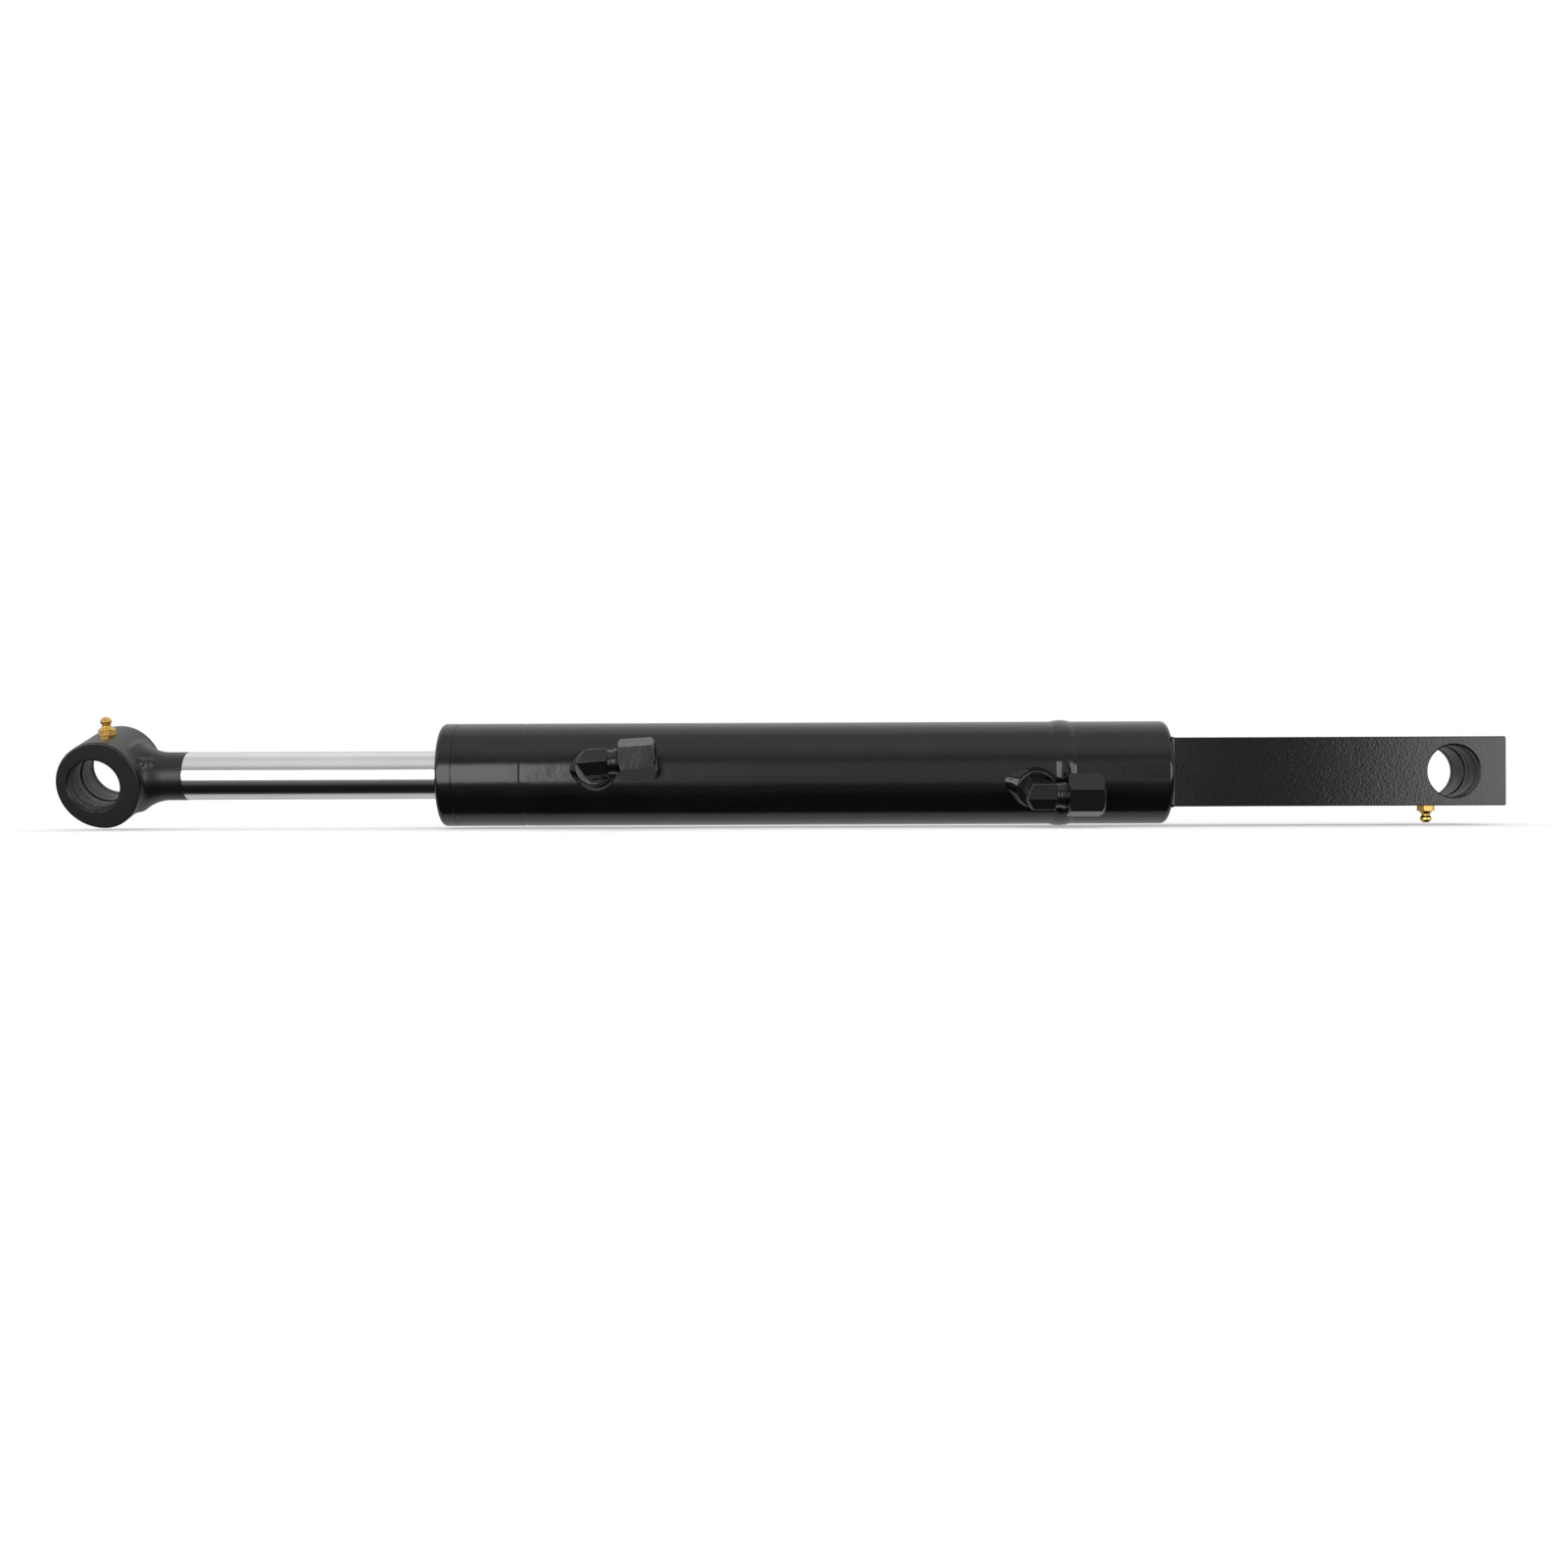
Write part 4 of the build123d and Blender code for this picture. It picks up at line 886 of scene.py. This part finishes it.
def swivel_nut(name, port):
    """Hexagon nut: cones cut both ends of the hexagon, threaded bore."""
    steps = 144
    angle = np.arange(steps) * TAU / steps
    length = NUT_LENGTH
    hexagon = hex_radius(NUT_FLATS, angle + math.pi / 6)
    corner_r = NUT_FLATS / math.sqrt(3)
    back_r, front_r = corner_r - 1.75, corner_r - 2.3
    back = np.clip(hexagon - back_r, 0, None) * math.tan(rad(32))
    front = np.clip(hexagon - front_r, 0, None) * math.tan(rad(40))
    rings = soften([
        (length - 0.9, 8.2), (4.5 + 4.0 + 0.9, 8.2), (4.5 + 4.0, 9.2, 0.2), (4.5, 9.2, 0.2), (4.5, 7.19),
        (0, 7.19, 0.4), (0, 9.0)], False)
    rings += [(0, np.minimum(hexagon, back_r)), (back, hexagon), (length - front, hexagon)]
    rings += [(length, np.minimum(hexagon, front_r))]
    rings += soften([(length, 9.6), (length, 9.1, 0.15), (length - 0.9, 8.2)], False)
    start = port.corner + port.outlet * NUT_START
    shell = turned_shell(rings, start, port.outlet, port.out, steps)
    return new_mesh(name, shell, 30)


def nut_thread(name, port):
    """Internal thread as one helical ridge."""
    pitch, crest, root = 1.5, 8.22, 9.12
    start = port.corner + port.outlet * (NUT_START + 8.9)
    turns, steps = 7.0, 48
    u, v, w = triad(port.outlet, port.out)
    verts, faces = [], []
    total = int(turns * steps)
    for k in range(total + 1):
        a = k * TAU / steps
        spoke = u * math.cos(a) + v * math.sin(a)
        along = pitch * k / steps
        for offset, radius in ((0.0, root), (0.62, crest), (0.82, crest), (1.44, root), (0.72, root + 0.25)):
            verts.append(start + w * (along + offset - 0.4) + spoke * radius)
        if k:
            for j in range(5):
                n = (j + 1) % 5
                faces.append([5 * (k - 1) + j, 5 * (k - 1) + n, 5 * k + n, 5 * k + j])
    faces.append([0, 1, 2, 3, 4])
    faces.append([5 * total + j for j in (4, 3, 2, 1, 0)])
    return new_mesh(name, (np.array([tuple(p) for p in verts]), faces), 25)


def loop_ring(name, centre, axis, zero, at, ring_r, cord_r, steps=96):
    """A torus about an axis."""
    rings = [(at + cord_r * math.cos(a), ring_r + cord_r * math.sin(a)) for a in np.arange(16) * TAU / 16]
    return new_mesh(name, turned_shell(rings, centre, axis, zero, steps))


# ---- grease nipples
def grease_nipple(name, seat, axis, zero):
    """Threaded end, chamfered hexagon, waist and head, with a passage through it."""
    steps = 96
    angle = np.arange(steps) * TAU / steps
    hexagon = hex_radius(NIPPLE_FLATS, angle)
    corner_r = NIPPLE_FLATS / math.sqrt(3)
    hex_top, passage_r = 3.4, 1.25
    lower = np.clip(hexagon - corner_r + 0.45, 0, None) * 0.6
    upper = np.clip(hexagon - corner_r + 0.75, 0, None) * 0.55
    rings = [(-3.8, passage_r), (-3.8, 2.9), (-3.3, 3.4), (0, 3.4)]
    rings += [(0, np.minimum(hexagon, corner_r - 0.45)), (lower, hexagon)]
    rings += [(hex_top - upper, hexagon), (hex_top, np.minimum(hexagon, corner_r - 0.75))]
    rings += soften([
        (hex_top, 4.2), (3.55, 3.75, 0.3), (5.2, 2.4, 0.5), (6.0, 2.35, 0.35), (7.3, 3.22, 0.45),
        (8.45, 3.25, 0.35), (9.95, 2.0, 0.3), (10.1, 1.5, 0.15), (9.7, 1.15, 0.15), (7.4, 0.95),
        (5.6, 1.0)], False, 4)
    rings += [(5.5, passage_r)]
    return new_mesh(name, turned_shell(rings, seat, axis, zero, steps), 32)


def nipple_ball(name, seat, axis, zero):
    """Check ball inside the nipple, behind its mouth."""
    ball_r, middle = 1.15, 6.7
    arc = [(middle - ball_r * math.cos(a), ball_r * math.sin(a)) for a in np.linspace(0, math.pi, 17)]
    return new_mesh(name, turned_shell(arc, seat, axis, zero, 32, closed=False))


# ---- put the pieces in the scene
piece("barrel_tube_v", barrel_tube(), BARREL_PAINT, "barrel", ["barrel_tube"])
piece("base_cap_v", base_cap(), BARREL_PAINT, "barrel", ["base_cap"])
piece("base_weld_bead_v", base_weld_bead(), WELD_PAINT, "barrel", ["base_weld_bead"],
      weighted=False)
lug = piece("base_lug_v", base_lug(), BAR_PAINT, "barrel", ["base_lug"])
lug_edges = lug.modifiers.new("edges", "BEVEL")
lug_edges.limit_method = "WEIGHT"
lug_edges.width = 1.2 * MM
lug_edges.segments = 5
lug.modifiers.move(1, 0)

piece("base_lug_weld_v", lug_weld(), WELD_PAINT, "barrel", ["base_cap"], weighted=False)

for bore, (origin, axis, zero, width, body) in BORES.items():
    for end, side in (("front", -1), ("rear", 1)):
        node = f"{bore}_bushing_{end}"
        mesh = bushing(node + "_v", origin, axis, zero, width, side)
        piece(node + "_v", mesh, BUSHING, body, [node])
        node = f"{bore}_pin_seal_{end}"
        mesh = pin_seal(node + "_v", origin, axis, zero, width, side)
        piece(node + "_v", mesh, RUBBER, body, [node])

piece("rod_eye_v", rod_eye(), EYE_PAINT, "rod", ["rod_eye"], weighted=False)
piece("rod_v", rod(), CHROME, "rod", ["rod"])
piece("gland_v", gland(), BARREL_PAINT, "barrel", ["gland"])
piece("rod_wiper_v", wiper(), URETHANE, "barrel", ["rod_wiper"])

for index, (name, port) in enumerate(PORTS.items()):
    node = f"{name}_boss"
    piece(node + "_v", port_boss(node + "_v", port), FITTING_PAINT, "barrel", [node])
    node = f"{name}_weld"
    mesh = port_weld(node + "_v", port, 11 + index, WELD_TAILS[name])
    piece(node + "_v", mesh, WELD_PAINT, "barrel", [node], weighted=False)
    node = f"{name}_elbow"
    piece(node + "_v", port_elbow(node + "_v", port), FITTING_PAINT, "barrel", [node])
    node = f"{name}_nose_seal"
    mesh = loop_ring(node + "_v", port.corner, port.outlet, port.out, 21.7, 7.45, 0.7)
    piece(node + "_v", mesh, RUBBER, "barrel", [node])
    nut = f"{name}_swivel_nut"
    body = f"{name}_nut"
    piece(nut + "_v", swivel_nut(nut + "_v", port), FITTING_PAINT, body, [nut], bevel=0.28)
    piece(nut + "_thread_v", nut_thread(nut + "_thread_v", port), THREAD_STEEL, body, [nut])

lug_seat = Vector((LUG_NIPPLE_X, 0, -LUG_H / 2))
eye_seat = Vector((EYE_NIPPLE_X, 0, 0)) + EYE_TOP * (EYE_R - EYE_SEAT_DEPTH)
for bore, seat, axis, body in (("lug", lug_seat, -Z_AXIS, "barrel"), ("eye", eye_seat, EYE_TOP, "rod")):
    node = f"{bore}_grease_nipple"
    mesh = grease_nipple(node + "_v", seat, axis, X_AXIS)
    piece(node + "_v", mesh, BRASS, body, [node], bevel=0.12)
    node = f"{bore}_nipple_ball"
    piece(node + "_v", nipple_ball(node + "_v", seat, axis, X_AXIS), STEEL, body, [node])

# CAD pieces kept as they are: all inside the cylinder, the port fittings or the nipples
KEPT = {
    STEEL: ["lug_nipple_spring", "eye_nipple_spring", "piston", "piston_lock_nut", "stop_tube",
            "rod_port_swivel_wire", "base_port_swivel_wire"],
    RUBBER: ["gland_o_ring", "piston_o_ring", "piston_seal_energizer",
             "rod_port_elbow_o_ring", "base_port_elbow_o_ring"],
    URETHANE: ["rod_seal", "rod_buffer_seal"],
    GUIDE: ["rod_wear_ring", "piston_wear_ring_front", "piston_wear_ring_back", "piston_seal",
            "gland_backup_ring"],
}
for material, names in KEPT.items():
    for name in names:
        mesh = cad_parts[name].data
        mesh.materials.clear()
        mesh.materials.append(material)


# ---- floor
def stage_floor():
    """Plain pale sheet under the cylinder."""
    size, cells = 4000.0, 16
    edge = np.linspace(-size, size, cells + 1)
    verts = [(x + MIDDLE_X, y, FLOOR_Z) for y in edge for x in edge]
    faces = []
    for j in range(cells):
        for i in range(cells):
            a = j * (cells + 1) + i
            faces.append([a, a + 1, a + cells + 2, a + cells + 1])
    mesh = new_mesh("studio_floor", (np.array(verts), faces), outward=False)
    n = Nodes("floor_pale")
    tone = n.remap(n.noise(3.0, 3.0, 0.5), 0.3, 0.7, 0.0, 1.0)
    color = n.mix(tone, (0.86, 0.86, 0.86), (0.89, 0.89, 0.89))
    material = n.finish(color, 0.9, n.bump(n.noise(400.0, 2.0, 0.5), 0.02), specular=0.1)
    n.shader.inputs["Emission Color"].default_value = (1, 1, 1, 1)
    n.shader.inputs["Emission Strength"].default_value = 0.3
    mesh.materials.append(material)
    floor = bpy.data.objects.new("studio_floor", mesh)
    bpy.context.scene.collection.objects.link(floor)
    floor.visible_glossy = False


stage_floor()


# ---- light: a white studio written as a sky
# brightness by angle round the cylinder's axis, in degrees: 0 is toward the camera, 90 is up
SKY = [
    (-180, 0.45), (-150, 0.52), (-130, 0.66), (-110, 0.58), (-102, 0.5), (-97, 0.03), (-80, 0.01),
    (-50, 0.012), (-43, 0.07), (-36, 0.12), (-29, 0.15), (-24, 0.28), (-18, 0.6), (0, 0.72), (20, 0.68),
    (33, 0.38), (43, 0.6), (54, 0.82), (68, 0.86), (80, 0.76), (97, 0.72), (106, 0.92), (140, 1.0),
    (158, 0.6), (180, 0.45),
]
SKY_SPAN = 4.0            # the curve node holds values up to 1, so it stores brightness over this
SOFTBOX = 2.9             # extra brightness of the softboxes
RIGHT_SHARE = 0.85
GAP_DEPTH = 0.68          # how much of the sky the dark gap beside the right softbox takes away


def studio_world():
    """Sky of SKY's brightness, with a softbox on each side of the front and a gap before the right one."""
    world = bpy.data.worlds.new("studio")
    bpy.context.scene.world = world
    world.use_nodes = True
    tree = world.node_tree
    back = tree.nodes["Background"]

    def math_node(kind, a, b=0.0):
        node = tree.nodes.new("ShaderNodeMath")
        node.operation = kind
        for socket, value in zip(node.inputs, (a, b)):
            if isinstance(value, (int, float)):
                socket.default_value = value
            else:
                tree.links.new(value, socket)
        return node.outputs["Value"]

    def window(value, a, b, c, d):
        """Rises from a to b and falls from c to d."""
        up = tree.nodes.new("ShaderNodeMapRange")
        down = tree.nodes.new("ShaderNodeMapRange")
        for node, (low, high), (first, last) in ((up, (a, b), (0, 1)), (down, (c, d), (1, 0))):
            node.interpolation_type = "SMOOTHSTEP"
            node.inputs["From Min"].default_value = low
            node.inputs["From Max"].default_value = high
            node.inputs["To Min"].default_value = first
            node.inputs["To Max"].default_value = last
            tree.links.new(value, node.inputs["Value"])
        return math_node("MULTIPLY", up.outputs["Result"], down.outputs["Result"])

    place = tree.nodes.new("ShaderNodeTexCoord")
    split = tree.nodes.new("ShaderNodeSeparateXYZ")
    tree.links.new(place.outputs["Generated"], split.inputs["Vector"])
    x, y, z = (split.outputs[k] for k in "XYZ")
    front = math_node("MULTIPLY", y, -1.0)
    roll = math_node("MULTIPLY", math_node("ARCTAN2", z, front), 180 / math.pi)
    turn = math_node("MULTIPLY", math_node("ARCTAN2", x, front), 180 / math.pi)
    ramp = tree.nodes.new("ShaderNodeFloatCurve")
    curve = ramp.mapping.curves[0]
    points = [((deg + 180) / 360, value / SKY_SPAN) for deg, value in SKY]
    curve.points[0].location = points[0]
    curve.points[1].location = points[-1]
    for point in points[1:-1]:
        curve.points.new(*point)
    for point in curve.points:
        point.handle_type = "VECTOR"
    ramp.mapping.update()
    tree.links.new(math_node("DIVIDE", math_node("ADD", roll, 180.0), 360.0), ramp.inputs["Value"])
    base = math_node("MULTIPLY", ramp.outputs["Value"], SKY_SPAN)
    low_front = window(roll, -21.0, -12.0, 19.0, 27.0)
    left_box = window(turn, -75.0, -60.0, -8.5, -5.5)
    right_box = window(turn, 18.6, 21.6, 60.0, 75.0)
    gap = math_node("MULTIPLY", window(roll, -15.0, -9.0, 12.0, 23.0), window(turn, 11.8, 13.4, 17.4, 19.0))
    both = math_node("ADD", left_box, math_node("MULTIPLY", right_box, RIGHT_SHARE))
    boxes = math_node("MULTIPLY", low_front, both)
    base = math_node("MULTIPLY", base, math_node("SUBTRACT", 1.0, math_node("MULTIPLY", gap, GAP_DEPTH)))
    light = math_node("ADD", base, math_node("MULTIPLY", boxes, SOFTBOX))
    path = tree.nodes.new("ShaderNodeLightPath")
    mixer = tree.nodes.new("ShaderNodeMix")
    mixer.data_type = "FLOAT"
    tree.links.new(path.outputs["Is Camera Ray"], mixer.inputs["Factor"])
    tree.links.new(light, mixer.inputs["A"])
    mixer.inputs["B"].default_value = 1.0
    tree.links.new(mixer.outputs["Result"], back.inputs["Strength"])
    back.inputs["Color"].default_value = (1, 1, 1, 1)


studio_world()

# ---- camera
camera = bpy.data.cameras.new("camera")
camera.lens = 39.2
camera.sensor_width = 36.0
camera.clip_start = 0.01
camera.clip_end = 50.0
eyepoint = bpy.data.objects.new("camera", camera)
bpy.context.scene.collection.objects.link(eyepoint)
eyepoint.location = (-0.385, -1.0035, -0.006)
turn = Matrix.Rotation(rad(90), 3, "X") @ Matrix.Rotation(rad(-0.225), 3, "Z")
eyepoint.rotation_mode = "QUATERNION"
eyepoint.rotation_quaternion = turn.to_quaternion()
bpy.context.scene.camera = eyepoint
bpy.context.scene.view_settings.view_transform = "Standard"
